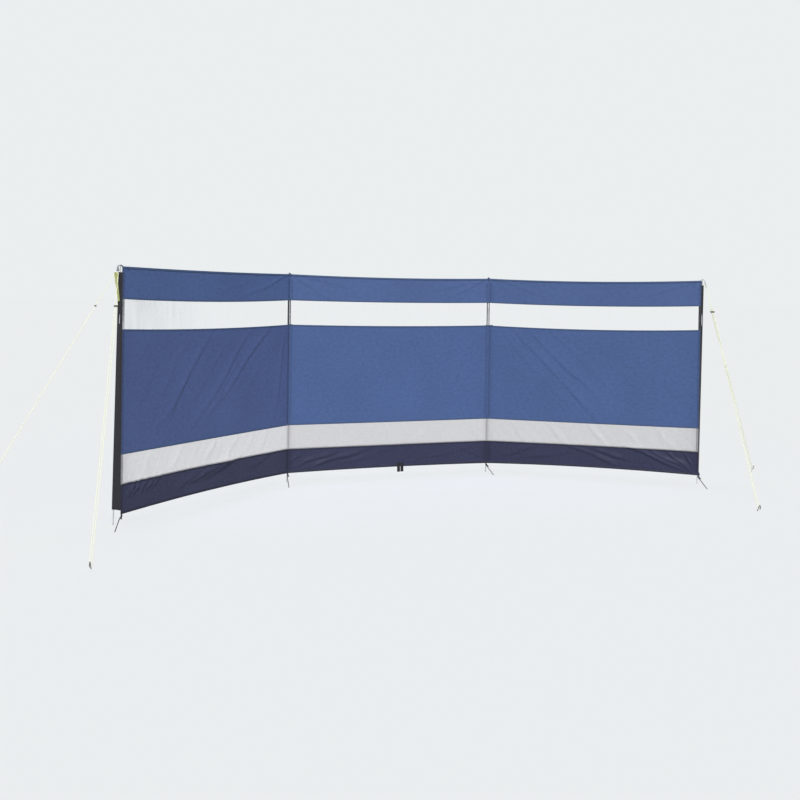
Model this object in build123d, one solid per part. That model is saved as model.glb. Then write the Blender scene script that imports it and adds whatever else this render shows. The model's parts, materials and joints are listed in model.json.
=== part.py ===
from build123d import *
from math import acos, asin, atan2, cos, pi, radians, sin, sqrt
import os

os.makedirs("parts", exist_ok=True)

# Three-bay beach windbreak pitched as a shallow bow, its wings folded towards the sheltered side.
# The foot of the left middle pole is the origin, +X runs along the middle bay to the right middle
# pole, -Y is the sheltered front and Z is up from the ground. Lengths in millimetres.

# Cloth, from the ground hem up
bay_width = 1645.0
skirt_height = 180.0
mesh_band_height = 184.0
main_panel_height = 755.0
window_height = 186.0
top_band_height = 195.0
hem_height = 75.0
cloth_thickness = 1.0
hem_fold_height = 15.0
hem_fold_thickness = 0.6
mitre_overrun = 3.0

# How far each seam hangs at the middle of a bay, from the ground hem up; below zero it rises
hem_dip = -12.0
skirt_seam_dip = -4.0
mesh_seam_dip = 0.0
window_foot_dip = 13.0
window_head_dip = 12.0
top_hem_dip = 11.0

# Angle through which the cloth turns forward at each middle pole
left_turn = 39.0
right_turn = 34.6

# Poles
pole_radius = 9.5
pole_wall = 1.0
spike_radius = 3.5
tube_foot_height = 98.0
neck_height = 20.0
tube_drop = 36.0
ground_overrun = 30.0
end_top_out = 9.0
end_top_back = 13.0
end_foot_out = 0.0
end_foot_back = 62.0
plug_depth = 22.0
plug_head_height = 5.0
pin_radius = 3.0
pin_proud = 12.0
pin_chamfer = 1.0
fit_gap = 0.3

# Pole sleeves
sleeve_thickness = 1.0
sleeve_gap = 0.5
sleeve_lift = 25.0
flange_width = 14.0
lap_width = 16.0
nose_radius = 2.0
nose_out = 2.5
nose_back = 2.5
sleeve_level_shares = (0, 0.3, 0.5, 0.65, 0.76, 0.85, 0.92, 0.97, 1)

# Eyelet tabs over the middle pole tips
top_tab_width = 21.0
top_tab_thickness = 1.6
top_tab_reach = 24.0
top_tab_drop = 24.0
top_tab_proud = 5.0
eyelet_radius = 3.8

# Corner straps over the end pole tips
strap_thickness = 2.0
arch_radius = 21.0
arch_proud = 8.0
strap_leg = 14.0
patch_length = 56.0
patch_foot_drop = 27.0
patch_head_drop = 4.0
strap_eye_radius = 4.4
strap_eye_bore = 2.3

# D-rings and guy lines
ring_wire_radius = 1.75
wire_sides = 8
bow_radius = 15.5
bow_corner = 4.0
ring_tilt = 25.0
guy_grip_angle = 40.0
cord_radius = 1.6
cord_eye_radius = 4.7
cord_eye_slack = 0.9
cord_sides = 6
cord_eye_sides = 10
knot_radius = 3.4
knot_stand = 6.4
guy_reach = 900.0
left_guy_spread = 38.0
right_front_guy_spread = 67.0
right_back_guy_spread = 58.0
loop_slack = 1.2
runner_distance = 225.0
runner_margin = 7.0
runner_depth = 13.0
runner_thickness = 6.0
runner_corner = 5.0
runner_bore = 2.0

# Guy pegs
peg_radius = 3.0
peg_lean = 35.0
wrap_height = 24.0
peg_rise = 20.0
peg_hook_radius = 9.0
peg_tail = 14.0

# Hem tabs and the hook pegs that hold them
tab_width = 14.0
tab_length = 46.0
tab_depth = 10.0
tab_wall = 1.8
tab_drop = 7.5
tab_behind = 3.0
lug_gap = 0.6
lug_thickness = 1.5
lug_rise = 20.0
lug_drop = 9.0
lug_inset = 10.0
hem_peg_radius = 2.5
hem_hook_radius = 10.5
hem_hook_tail = 20.0
hem_hook_slack = 1.8
left_end_peg = (-108.0, 133.0)
left_middle_peg = (-98.0, 165.0)
right_middle_peg = (-81.0, 118.0)
right_end_peg = (-93.0, 150.0)

# Roll-up tie behind the middle of the skirt
tie_place_share = 0.549
tie_width = 50.0
tie_gap = 9.0
tie_tail = 45.0
tie_patch = 26.0
tie_thickness = 1.6

# Levels that follow from the cloth
cloth_heights = [skirt_height, mesh_band_height, main_panel_height, window_height, top_band_height]
seam_dips = [hem_dip, skirt_seam_dip, mesh_seam_dip, window_foot_dip, window_head_dip, top_hem_dip]
seam_levels = [hem_height + sum(cloth_heights[:count]) for count in range(len(seam_dips))]
window_foot, window_head, cloth_top = seam_levels[-3:]
tube_top = cloth_top - tube_drop
sleeve_foot = hem_height + sleeve_lift
loop_radius = peg_radius + cord_radius + loop_slack
up = Vector(0, 0, 1)


def aim(bearing):
    return Vector(cos(radians(bearing)), sin(radians(bearing)))


# Plan of the folds and the poles
fold_stand = pole_radius + cloth_thickness / 2 + fit_gap
left_setback = fold_stand / cos(radians(left_turn / 2))
right_setback = fold_stand / cos(radians(right_turn / 2))
left_back = 90 + left_turn / 2
right_back = 90 - right_turn / 2
left_fold = aim(left_back) * -left_setback
right_fold = left_fold + aim(0) * bay_width
left_corner = left_fold + aim(180 + left_turn) * bay_width
right_corner = right_fold + aim(-right_turn) * bay_width
left_middle_foot = left_fold + aim(left_back) * left_setback
right_middle_foot = right_fold + aim(right_back) * right_setback


# Cloth bays
left_mitre = Plane(origin=left_fold, z_dir=aim(left_turn / 2))
right_mitre = Plane(origin=right_fold, z_dir=aim(-right_turn / 2))


def bay_plane(start, heading):
    return Plane(origin=start, x_dir=aim(heading), z_dir=aim(heading - 90))


left_plane = bay_plane(left_corner, left_turn)
middle_plane = bay_plane(left_fold, 0)
right_plane = bay_plane(right_fold, -right_turn)


def seam(level, dip, start, end):
    if dip == 0:
        return Line((start, level), (end, level))
    return ThreePointArc((start, level), ((start + end) / 2, level - dip), (end, level))


def sheet(plane, first_mitre, last_mitre, lower, upper, offset, thickness):
    start = -mitre_overrun if first_mitre else 0
    end = bay_width + mitre_overrun if last_mitre else bay_width
    foot = seam(*lower, start, end)
    head = seam(*upper, start, end)
    outline = make_face([foot, Line(foot @ 1, head @ 1), head, Line(head @ 0, foot @ 0)])
    cloth = extrude(plane.offset(offset) * outline, thickness)
    if first_mitre:
        cloth = split(cloth, first_mitre, Keep.TOP)
    if last_mitre:
        cloth = split(cloth, last_mitre, Keep.BOTTOM)
    return cloth


def bay_bands(plane, first_mitre, last_mitre):
    bands = []
    front = cloth_thickness / 2
    for index in range(len(cloth_heights)):
        lower = (seam_levels[index], seam_dips[index])
        upper = (seam_levels[index + 1], seam_dips[index + 1])
        band = sheet(plane, first_mitre, last_mitre, lower, upper, -front, cloth_thickness)
        bands.append(band)
    # The ground hem and the top hem are folded to the front
    hem_inner = (hem_height + hem_fold_height, hem_dip)
    top_inner = (cloth_top - hem_fold_height, top_hem_dip)
    hem_outer = (hem_height, hem_dip)
    top_outer = (cloth_top, top_hem_dip)
    bands[0] += sheet(plane, first_mitre, last_mitre, hem_outer, hem_inner, front, hem_fold_thickness)
    bands[-1] += sheet(plane, first_mitre, last_mitre, top_inner, top_outer, front, hem_fold_thickness)
    return bands


# Poles: a swaged tube on a ground spike, cut off level with the ground, and a plug with a tip pin
def pole_axis(foot, top):
    return Plane(origin=foot, z_dir=top - foot)


def pole(axis):
    bore = pole_radius - pole_wall
    shoulder = tube_foot_height + neck_height
    profile = Polyline(
        (0, -ground_overrun),
        (spike_radius, -ground_overrun),
        (spike_radius, tube_foot_height),
        (pole_radius, shoulder),
        (pole_radius, tube_top),
        (bore, tube_top),
        (bore, shoulder),
        (0, shoulder),
        close=True,
    )
    turned = revolve(Plane.XZ * make_face(profile), Axis.Z)
    return split(axis * turned, Plane.XY, Keep.TOP)


def pole_tip(axis):
    spigot = pole_radius - pole_wall - fit_gap
    pin_top = cloth_top + pin_proud
    profile = Polyline(
        (0, tube_top - plug_depth),
        (spigot, tube_top - plug_depth),
        (spigot, tube_top),
        (pole_radius, tube_top),
        (pin_radius, tube_top + plug_head_height),
        (pin_radius, pin_top - pin_chamfer),
        (pin_radius - pin_chamfer, pin_top),
        (0, pin_top),
        close=True,
    )
    return axis * revolve(Plane.XZ * make_face(profile), Axis.Z)


# Middle sleeves: a strip of cloth round the back of the pole, sewn to the bays on both sides. Its
# flanges stop at the clear window
def middle_sleeve(foot, first_out, last_out):
    first_back = first_out - 90
    last_back = last_out + 90
    radius = pole_radius + sleeve_gap + sleeve_thickness / 2
    leg = fold_stand - cloth_thickness / 2 - sleeve_thickness / 2
    first_side = foot + aim(first_out) * radius
    first_foot = first_side - aim(first_back) * leg
    first_end = first_foot + aim(first_out) * flange_width
    last_side = foot + aim(last_out) * radius
    last_foot = last_side - aim(last_back) * leg
    last_end = last_foot + aim(last_out) * flange_width
    crown = foot + aim((first_back + last_back) / 2) * radius
    path = [
        Line(first_end, first_foot),
        Line(first_foot, first_side),
        ThreePointArc(first_side, crown, last_side),
        Line(last_side, last_foot),
        Line(last_foot, last_end),
    ]
    flanged = trace(path, sleeve_thickness)
    bare = trace(path[1:-1], sleeve_thickness)
    sleeve = extrude(Plane.XY.offset(sleeve_foot) * flanged, window_foot - sleeve_foot)
    sleeve += extrude(Plane.XY.offset(window_foot) * bare, window_head - window_foot)
    sleeve += extrude(Plane.XY.offset(window_head) * flanged, tube_top - window_head)
    return sleeve


# Ends of the run: out is along the last bay and away from it, back is behind the cloth
class End:
    def __init__(self, corner, out_bearing, side, front_spread, back_spread):
        self.corner = corner
        self.out_bearing = out_bearing
        self.side = side
        self.spreads = {-1: front_spread, 1: back_spread}
        self.out = aim(out_bearing)
        self.back = aim(out_bearing - side * 90)
        self.plane = Plane(origin=corner, x_dir=self.out, z_dir=self.out.cross(up))
        foot = self.spot(end_foot_out, end_foot_back, 0)
        top = self.spot(end_top_out, end_top_back, tube_top)
        self.axis = pole_axis(foot, top)

    def spot(self, out, back, level):
        return self.corner + self.out * out + self.back * back + up * level

    def across(self, sketch, near, far):
        return extrude(self.plane.offset(self.side * near) * sketch, self.side * (far - near))


left_end = End(left_corner, 180 + left_turn, 1, left_guy_spread, left_guy_spread)
right_end = End(right_corner, -right_turn, -1, right_front_guy_spread, right_back_guy_spread)


# End sleeves: a flattened tube from the cloth edge round the leaning pole, sewn on along a lap
def sleeve_rounds(end, level, inset):
    share = level / tube_top
    pole_out = end_foot_out + (end_top_out - end_foot_out) * share
    pole_back = end_foot_back + (end_top_back - end_foot_back) * share
    big = pole_radius + sleeve_gap + sleeve_thickness - inset
    small = nose_radius - inset
    run_out = pole_out - nose_out
    run_back = pole_back - nose_back
    bearing = atan2(run_back, run_out)
    spread = acos((small - big) / sqrt(run_out**2 + run_back**2))

    def round_pole(angle):
        return end.spot(pole_out + big * cos(angle), pole_back + big * sin(angle), level)

    def round_nose(angle):
        return end.spot(nose_out + small * cos(angle), nose_back + small * sin(angle), level)

    return bearing, spread, round_pole, round_nose


def sleeve_bore(end, level):
    bearing, spread, round_pole, round_nose = sleeve_rounds(end, level, sleeve_thickness)
    inner = bearing + spread
    outer = bearing - spread
    return Wire([
        ThreePointArc(round_pole(outer), round_pole(bearing), round_pole(inner)).edge(),
        Line(round_pole(inner), round_nose(inner)).edge(),
        ThreePointArc(round_nose(inner), round_nose(bearing + pi), round_nose(outer)).edge(),
        Line(round_nose(outer), round_pole(outer)).edge(),
    ])


def sleeve_outline(end, level):
    bearing, spread, round_pole, round_nose = sleeve_rounds(end, level, 0)
    inner = bearing + spread
    outer = bearing - spread
    lap_front = nose_back - nose_radius
    lap_back = lap_front + sleeve_thickness
    front = -pi / 2
    crease = pi + asin((nose_back - lap_back) / nose_radius)
    front_end = end.spot(-lap_width, lap_front, level)
    back_end = end.spot(-lap_width, lap_back, level)
    return Wire([
        ThreePointArc(round_pole(outer), round_pole(bearing), round_pole(inner)).edge(),
        Line(round_pole(inner), round_nose(inner)).edge(),
        ThreePointArc(round_nose(inner), round_nose((inner + crease) / 2), round_nose(crease)).edge(),
        Line(round_nose(crease), back_end).edge(),
        Line(back_end, front_end).edge(),
        Line(front_end, round_nose(front)).edge(),
        ThreePointArc(round_nose(front), round_nose((front + outer) / 2), round_nose(outer)).edge(),
        Line(round_nose(outer), round_pole(outer)).edge(),
    ])


def end_sleeve(end):
    levels = [sleeve_foot + (tube_top - sleeve_foot) * share for share in sleeve_level_shares]
    outside = Solid.make_loft([sleeve_outline(end, level) for level in levels], True)
    inside = Solid.make_loft([sleeve_bore(end, level) for level in levels], True)
    walls = outside.faces().sort_by(Axis.Z)[1:-1] + inside.faces().sort_by(Axis.Z)[1:-1]
    ends = (levels[0], levels[-1])
    rims = [Face(sleeve_outline(end, level), [sleeve_bore(end, level)]) for level in ends]
    return Solid(Shell(walls + rims))


# Corner straps: sewn to the cloth corner, up over the tip pin and down to a D-ring
def corner_strap(end):
    crown = cloth_top + arch_proud
    arch_level = crown - arch_radius
    inner = end_top_out - arch_radius
    outer = end_top_out + arch_radius
    eye_level = arch_level - strap_leg
    eye_middle = (strap_eye_radius + strap_eye_bore) / 2
    path = [
        Line((inner, arch_level - strap_leg), (inner, arch_level)),
        ThreePointArc((inner, arch_level), (end_top_out, crown), (outer, arch_level)),
        Line((outer, arch_level), (outer, eye_level + eye_middle)),
    ]
    eye = Circle(strap_eye_radius) - Circle(strap_eye_bore)
    profile = trace(path, strap_thickness) - Pos(outer, eye_level) * Circle(strap_eye_bore)
    profile += Pos(outer, eye_level) * eye
    near = cloth_thickness / 2
    strap = end.across(profile, near, 2 * end_top_back - near)
    patch_outline = make_face(Polyline(
        (-patch_length, cloth_top - patch_foot_drop),
        (0, cloth_top - patch_foot_drop),
        (0, cloth_top - patch_head_drop - top_hem_dip),
        (-patch_length, cloth_top - patch_head_drop - top_hem_dip),
        close=True,
    ))
    strap += end.across(patch_outline, near, near + strap_thickness)
    drill = end.axis * Pos(0, 0, crown) * Cylinder(eyelet_radius, arch_radius)
    return strap - drill


# Middle eyelet tabs: a lip behind the fold that turns back over the tip pin
def top_tab(fold, foot, back_bearing):
    plane = Plane(origin=fold, x_dir=aim(back_bearing - 90), z_dir=up)
    shelf_level = cloth_top + top_tab_proud - top_tab_thickness
    half = top_tab_width / 2
    shelf_outline = make_face(Polyline(
        (-half, lug_gap), (half, lug_gap), (half, top_tab_reach), (-half, top_tab_reach), close=True
    ))
    lip_outline = make_face(Polyline(
        (-half, lug_gap),
        (half, lug_gap),
        (half, lug_gap + top_tab_thickness),
        (-half, lug_gap + top_tab_thickness),
        close=True,
    ))
    tab = extrude(plane.offset(shelf_level) * shelf_outline, top_tab_thickness)
    tab += extrude(plane.offset(cloth_top - top_tab_drop) * lip_outline, top_tab_drop + top_tab_proud)
    return tab - Pos(foot.X, foot.Y, cloth_top) * Cylinder(eyelet_radius, top_tab_reach)


# Wire and cord have few sides, as wide across the flats as the real ones are thick
def wire_section(radius, sides):
    return RegularPolygon(radius, sides, major_radius=False)


# D-rings: a straight bar in the strap's eye and a round bow tilted out along the guys
def ring_frame(end):
    eye_level = cloth_top + arch_proud - arch_radius - strap_leg
    centre = end.spot(end_top_out + arch_radius, end_top_back, eye_level)
    fall = end.out * sin(radians(ring_tilt)) - up * cos(radians(ring_tilt))
    return centre, fall


def guy_ring(end):
    centre, fall = ring_frame(end)
    flat = bow_radius - bow_corner
    section = wire_section(ring_wire_radius, wire_sides)
    bar = extrude(Plane(origin=(-flat, 0), z_dir=(1, 0, 0)) * section, 2 * flat)
    corner_axis = Axis((flat, -bow_corner, 0), (0, 0, -1))
    corner = revolve(Plane(origin=(flat, 0), z_dir=(1, 0, 0)) * section, corner_axis, 90)
    bow_axis = Axis((0, -bow_corner, 0), (0, 0, -1))
    bow = revolve(Plane(origin=(bow_radius, -bow_corner), z_dir=(0, -1, 0)) * section, bow_axis, 180)
    ring = bar + corner + mirror(corner, Plane.YZ) + bow
    return Plane(origin=centre, x_dir=end.back, z_dir=end.back.cross(-fall)) * ring


# Guy lines: an eye on the D-ring, one strand to the runner and a long loop from there to the peg
def guy_layout(end, hand):
    centre, fall = ring_frame(end)
    grip = radians(guy_grip_angle)
    held = centre + end.back * (hand * bow_radius * sin(grip))
    held += fall * (bow_corner + bow_radius * cos(grip))
    tangent = end.back * cos(grip) - fall * (hand * sin(grip))
    peg_bearing = end.out_bearing - end.side * hand * end.spreads[hand]
    peg_at = end.corner + aim(peg_bearing) * guy_reach + up * wrap_height
    pull = peg_at - held
    pull = (pull - tangent * pull.dot(tangent)).normalized()
    eye_at = held + pull * cord_eye_slack
    knot_at = eye_at + pull * knot_stand
    along = (peg_at - knot_at).normalized()
    for _ in range(4):
        lateral = along.cross(up).normalized()
        along = (peg_at + lateral * loop_radius - knot_at).normalized()
    frame = Plane(origin=peg_at, x_dir=lateral, z_dir=lateral.cross(along))
    length = (peg_at + lateral * loop_radius - knot_at).length
    return eye_at, tangent, frame, length, along


def guy_line(end, hand):
    eye_at, tangent, frame, length, along = guy_layout(end, hand)
    stop = length - runner_distance + runner_thickness + knot_radius + fit_gap
    path = Wire([
        Line((loop_radius, -length), (loop_radius, 0)).edge(),
        ThreePointArc((loop_radius, 0), (0, loop_radius), (-loop_radius, 0)).edge(),
        Line((-loop_radius, 0), (-loop_radius, -stop)).edge(),
    ])
    cord = wire_section(cord_radius, cord_sides)
    line = sweep(Plane(origin=(loop_radius, -length), z_dir=(0, 1, 0)) * cord, path)
    for knot_at in ((loop_radius, -length), (-loop_radius, -stop)):
        knot = Plane(origin=knot_at, z_dir=(0, 1, 0)) * wire_section(knot_radius, cord_sides)
        line += extrude(knot, knot_radius, both=True)
    eye_outside = wire_section(cord_eye_radius + cord_radius, cord_eye_sides)
    eye_inside = wire_section(cord_eye_radius - cord_radius, cord_eye_sides)
    eye = extrude(eye_outside - eye_inside, cord_radius, both=True)
    return frame * line + Plane(origin=eye_at, z_dir=tangent) * eye


def guy_runner(end, hand):
    frame, length = guy_layout(end, hand)[2:4]
    seat = Plane(origin=(0, runner_distance - length), x_dir=(1, 0, 0), z_dir=(0, -1, 0))
    plate = RectangleRounded(2 * (loop_radius + runner_margin), runner_depth, runner_corner)
    plate -= Pos(loop_radius, 0) * Circle(runner_bore)
    plate -= Pos(-loop_radius, 0) * Circle(runner_bore)
    return frame * extrude(seat * plate, runner_thickness)


def guy_peg(end, hand):
    frame, _, along = guy_layout(end, hand)[2:5]
    away = Vector(along.X, along.Y).normalized()
    lean = radians(peg_lean)
    rise = up * cos(lean) + away * sin(lean)
    turn = away * cos(lean) - up * sin(lean)
    seat = Plane(origin=frame.origin, x_dir=turn, z_dir=turn.cross(rise))
    buried = wrap_height + ground_overrun
    path = Wire([
        Line((0, -buried), (0, peg_rise)).edge(),
        ThreePointArc(
            (0, peg_rise), (peg_hook_radius, peg_rise + peg_hook_radius), (2 * peg_hook_radius, peg_rise)
        ).edge(),
        Line((2 * peg_hook_radius, peg_rise), (2 * peg_hook_radius, peg_rise - peg_tail)).edge(),
    ])
    section = Plane(origin=(0, -buried), z_dir=(0, 1, 0)) * wire_section(peg_radius, wire_sides)
    return split(seat * sweep(section, path), Plane.XY, Keep.TOP)


# Hem tabs: a lug sewn behind the hem with a webbing loop, and a hook peg through the loop
def hem_frame(place, peg):
    bearing, reach = peg
    start = place + up * (hem_height - tab_drop)
    slope = (place + aim(bearing) * reach - start).normalized()
    return Plane(origin=start, x_dir=slope, z_dir=aim(bearing - 90))


def hem_tab(place, back_bearing, peg):
    outside = SlotOverall(tab_length, tab_depth)
    inside = SlotOverall(tab_length - 2 * tab_wall, tab_depth - 2 * tab_wall)
    ring = Pos(tab_length / 2 - tab_behind, 0) * (outside - inside)
    loop = extrude(hem_frame(place, peg) * ring, tab_width / 2, both=True)
    plane = Plane(origin=place, x_dir=aim(back_bearing - 90), z_dir=up)
    half = tab_width / 2
    lug_outline = make_face(Polyline(
        (-half, lug_gap),
        (half, lug_gap),
        (half, lug_gap + lug_thickness),
        (-half, lug_gap + lug_thickness),
        close=True,
    ))
    lug = extrude(plane.offset(hem_height - lug_drop) * lug_outline, lug_drop + lug_rise)
    return loop + lug


def hem_peg(place, peg):
    frame = hem_frame(place, peg)
    inset = hem_hook_radius - sqrt(hem_hook_radius**2 - (tab_width / 2) ** 2)
    crown = tab_length - tab_behind - tab_wall - hem_peg_radius - inset - hem_hook_slack
    foot = peg[1] + hem_height
    centre = crown + hem_hook_radius
    path = Wire([
        Line((foot, -hem_hook_radius), (centre, -hem_hook_radius)).edge(),
        ThreePointArc((centre, -hem_hook_radius), (crown, 0), (centre, hem_hook_radius)).edge(),
        Line((centre, hem_hook_radius), (centre + hem_hook_tail, hem_hook_radius)).edge(),
    ])
    seat = Plane(origin=(foot, -hem_hook_radius), z_dir=(-1, 0, 0))
    section = seat * wire_section(hem_peg_radius, wire_sides)
    flat = Plane(origin=frame.origin, x_dir=frame.x_dir, z_dir=frame.y_dir)
    return split(flat * sweep(section, path), Plane.XY, Keep.TOP)


# Roll-up tie: a patch behind the skirt with two tails below the hem
def roll_tie():
    middle = bay_width * tie_place_share
    hem_level = hem_height - hem_dip
    half = tie_width / 2
    slot = tie_gap / 2
    outline = make_face(Polyline(
        (middle - half, hem_level - tie_tail),
        (middle - slot, hem_level - tie_tail),
        (middle - slot, hem_level),
        (middle + slot, hem_level),
        (middle + slot, hem_level - tie_tail),
        (middle + half, hem_level - tie_tail),
        (middle + half, hem_level + tie_patch),
        (middle - half, hem_level + tie_patch),
        close=True,
    ))
    return extrude(middle_plane.offset(-cloth_thickness / 2 - tie_thickness) * outline, tie_thickness)


# Pieces
parts = {}
band_names = ["skirt", "mesh_band", "main_panel", "window", "top_band"]
left_bands = bay_bands(left_plane, None, left_mitre)
middle_bands = bay_bands(middle_plane, left_mitre, right_mitre)
right_bands = bay_bands(right_plane, right_mitre, None)
for bay_name, bands in (("left", left_bands), ("middle", middle_bands), ("right", right_bands)):
    for band_name, band in zip(band_names, bands):
        parts[f"{bay_name}_{band_name}"] = band

left_middle_axis = Plane(origin=left_middle_foot)
right_middle_axis = Plane(origin=right_middle_foot)
pole_axes = {
    "left_end": left_end.axis,
    "left_middle": left_middle_axis,
    "right_middle": right_middle_axis,
    "right_end": right_end.axis,
}
for pole_name, axis in pole_axes.items():
    parts[f"{pole_name}_pole"] = pole(axis)
    parts[f"{pole_name}_pole_tip"] = pole_tip(axis)

parts["left_end_sleeve"] = end_sleeve(left_end)
parts["left_middle_sleeve"] = middle_sleeve(left_middle_foot, 180 + left_turn, 0)
parts["right_middle_sleeve"] = middle_sleeve(right_middle_foot, 180, -right_turn)
parts["right_end_sleeve"] = end_sleeve(right_end)

parts["left_middle_top_tab"] = top_tab(left_fold, left_middle_foot, left_back)
parts["right_middle_top_tab"] = top_tab(right_fold, right_middle_foot, right_back)

for end_name, end in (("left", left_end), ("right", right_end)):
    parts[f"{end_name}_corner_strap"] = corner_strap(end)
    parts[f"{end_name}_guy_ring"] = guy_ring(end)
    parts[f"{end_name}_front_guy"] = guy_line(end, -1)
    parts[f"{end_name}_back_guy"] = guy_line(end, 1)
    parts[f"{end_name}_guy_runners"] = Part() + [guy_runner(end, -1), guy_runner(end, 1)]
    parts[f"{end_name}_guy_pegs"] = Part() + [guy_peg(end, -1), guy_peg(end, 1)]

hem_places = [
    (left_end.spot(-lug_inset, 0, 0), left_turn + 90, left_end_peg),
    (left_fold, left_back, left_middle_peg),
    (right_fold, right_back, right_middle_peg),
    (right_end.spot(-lug_inset, 0, 0), 90 - right_turn, right_end_peg),
]
parts["hem_tabs"] = Part() + [hem_tab(*place) for place in hem_places]
parts["hem_pegs"] = Part() + [hem_peg(place, peg) for place, _, peg in hem_places]
parts["roll_tie"] = roll_tie()

for name, piece in parts.items():
    export_step(piece, f"parts/{name}.step")
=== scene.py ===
import json
import math
import bmesh
import bpy
from mathutils import Matrix, Vector, noise


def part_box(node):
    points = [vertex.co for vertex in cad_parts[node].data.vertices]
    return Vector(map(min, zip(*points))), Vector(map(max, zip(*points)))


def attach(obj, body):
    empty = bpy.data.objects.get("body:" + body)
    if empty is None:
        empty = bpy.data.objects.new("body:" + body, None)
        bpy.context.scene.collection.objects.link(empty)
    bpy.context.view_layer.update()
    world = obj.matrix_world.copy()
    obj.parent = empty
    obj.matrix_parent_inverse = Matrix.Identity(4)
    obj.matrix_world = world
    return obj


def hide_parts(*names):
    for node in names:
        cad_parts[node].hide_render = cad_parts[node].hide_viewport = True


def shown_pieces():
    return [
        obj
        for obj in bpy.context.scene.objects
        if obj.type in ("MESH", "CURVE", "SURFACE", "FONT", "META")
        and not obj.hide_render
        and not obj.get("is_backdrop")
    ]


# Beach windbreak in three bays. Sizes in the dictionaries are millimetres, Blender works in metres.
mm = 0.001
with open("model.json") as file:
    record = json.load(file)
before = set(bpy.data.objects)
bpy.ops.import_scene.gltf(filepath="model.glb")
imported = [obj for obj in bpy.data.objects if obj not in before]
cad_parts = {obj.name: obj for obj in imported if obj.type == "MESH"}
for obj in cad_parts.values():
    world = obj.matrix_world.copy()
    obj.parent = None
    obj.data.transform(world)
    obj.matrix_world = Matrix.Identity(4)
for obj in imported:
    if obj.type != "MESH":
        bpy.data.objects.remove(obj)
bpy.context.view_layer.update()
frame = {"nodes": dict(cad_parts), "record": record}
nodes = frame["nodes"]
up = Vector((0, 0, 1))
print("frame loaded,", len(nodes), "nodes")


# Small helpers

def linear(hexColour):  # sRGB hex to the linear colour that the shaders take
    parts = [int(hexColour[i:i + 2], 16) / 255 for i in (1, 3, 5)]
    return [c / 12.92 if c <= 0.04045 else ((c + 0.055) / 1.055) ** 2.4 for c in parts] + [1.0]


def shade(hexColour, amount):  # the linear colour made darker or paler
    return [min(1.0, c * amount) for c in linear(hexColour)[:3]] + [1.0]


def addNode(tree, kind, settings=None, links=None):
    # Settings are properties, sockets or a colour ramp's stops, and a linked node gives its first output
    node = tree.nodes.new(kind)
    for name, value in (settings or {}).items():
        if name == "ramp":
            for stop, (position, colour) in zip(node.color_ramp.elements, value):
                stop.position = position
                stop.color = colour
        elif not isinstance(name, int) and hasattr(node, name):
            setattr(node, name, value)
        else:
            node.inputs[name].default_value = value
    for name, source in (links or {}).items():
        output = source if isinstance(source, bpy.types.NodeSocket) else source.outputs[0]
        tree.links.new(output, node.inputs[name])
    return node


def newMaterial(name):
    material = bpy.data.materials.new(name)
    material.use_nodes = True
    material.node_tree.nodes.clear()
    return material, material.node_tree


def noiseScale(sizeMm):  # noise texture scale for blotches about this size
    return 1 / (sizeMm * mm)


def waveScale(pitchMm):  # wave texture scale for bands this far apart
    return 2 * math.pi / 20 / (pitchMm * mm)


def smoothStep(x):
    x = min(1.0, max(0.0, x))
    return x * x * (3 - 2 * x)


def newMesh(uvName):
    bm = bmesh.new()
    return bm, bm.loops.layers.uv.new(uvName)


def layGrid(bm, columns, rows, placeAt, uv=None, uvAt=None):  # placeAt and uvAt take a column and a row
    grid = bmesh.ops.create_grid(bm, x_segments=columns, y_segments=rows, size=0.5)["verts"]
    spots = {v: (round((v.co.x + 0.5) * columns), round((v.co.y + 0.5) * rows)) for v in grid}
    if uvAt:
        marks = {v: uvAt(*spot) for v, spot in spots.items()}
        for face in {f for v in grid for f in v.link_faces}:
            for loop in face.loops:
                loop[uv].uv = marks[loop.vert]
    for vert, spot in spots.items():
        vert.co = placeAt(*spot)
    return grid, spots


def makePiece(name, bm, material, replaced=(), thickness=0.0, edge=0.0, outward=False):
    if outward:
        bmesh.ops.recalc_face_normals(bm, faces=bm.faces[:])
    mesh = bpy.data.meshes.new(name)
    bm.to_mesh(mesh)
    bm.free()
    mesh.materials.append(material)
    mesh.polygons.foreach_set("use_smooth", [True] * len(mesh.polygons))
    piece = bpy.data.objects.new(name, mesh)
    bpy.context.scene.collection.objects.link(piece)
    if thickness:
        wall = piece.modifiers.new("Thickness", "SOLIDIFY")
        wall.thickness = thickness * mm
        wall.offset = 0
    if edge:
        soft = piece.modifiers.new("SoftEdge", "BEVEL")
        soft.width = edge * mm
        soft.segments = 2
        soft.limit_method = "ANGLE"
    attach(piece, "root")
    if replaced:
        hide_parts(*replaced)
    return piece


# Materials

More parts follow.
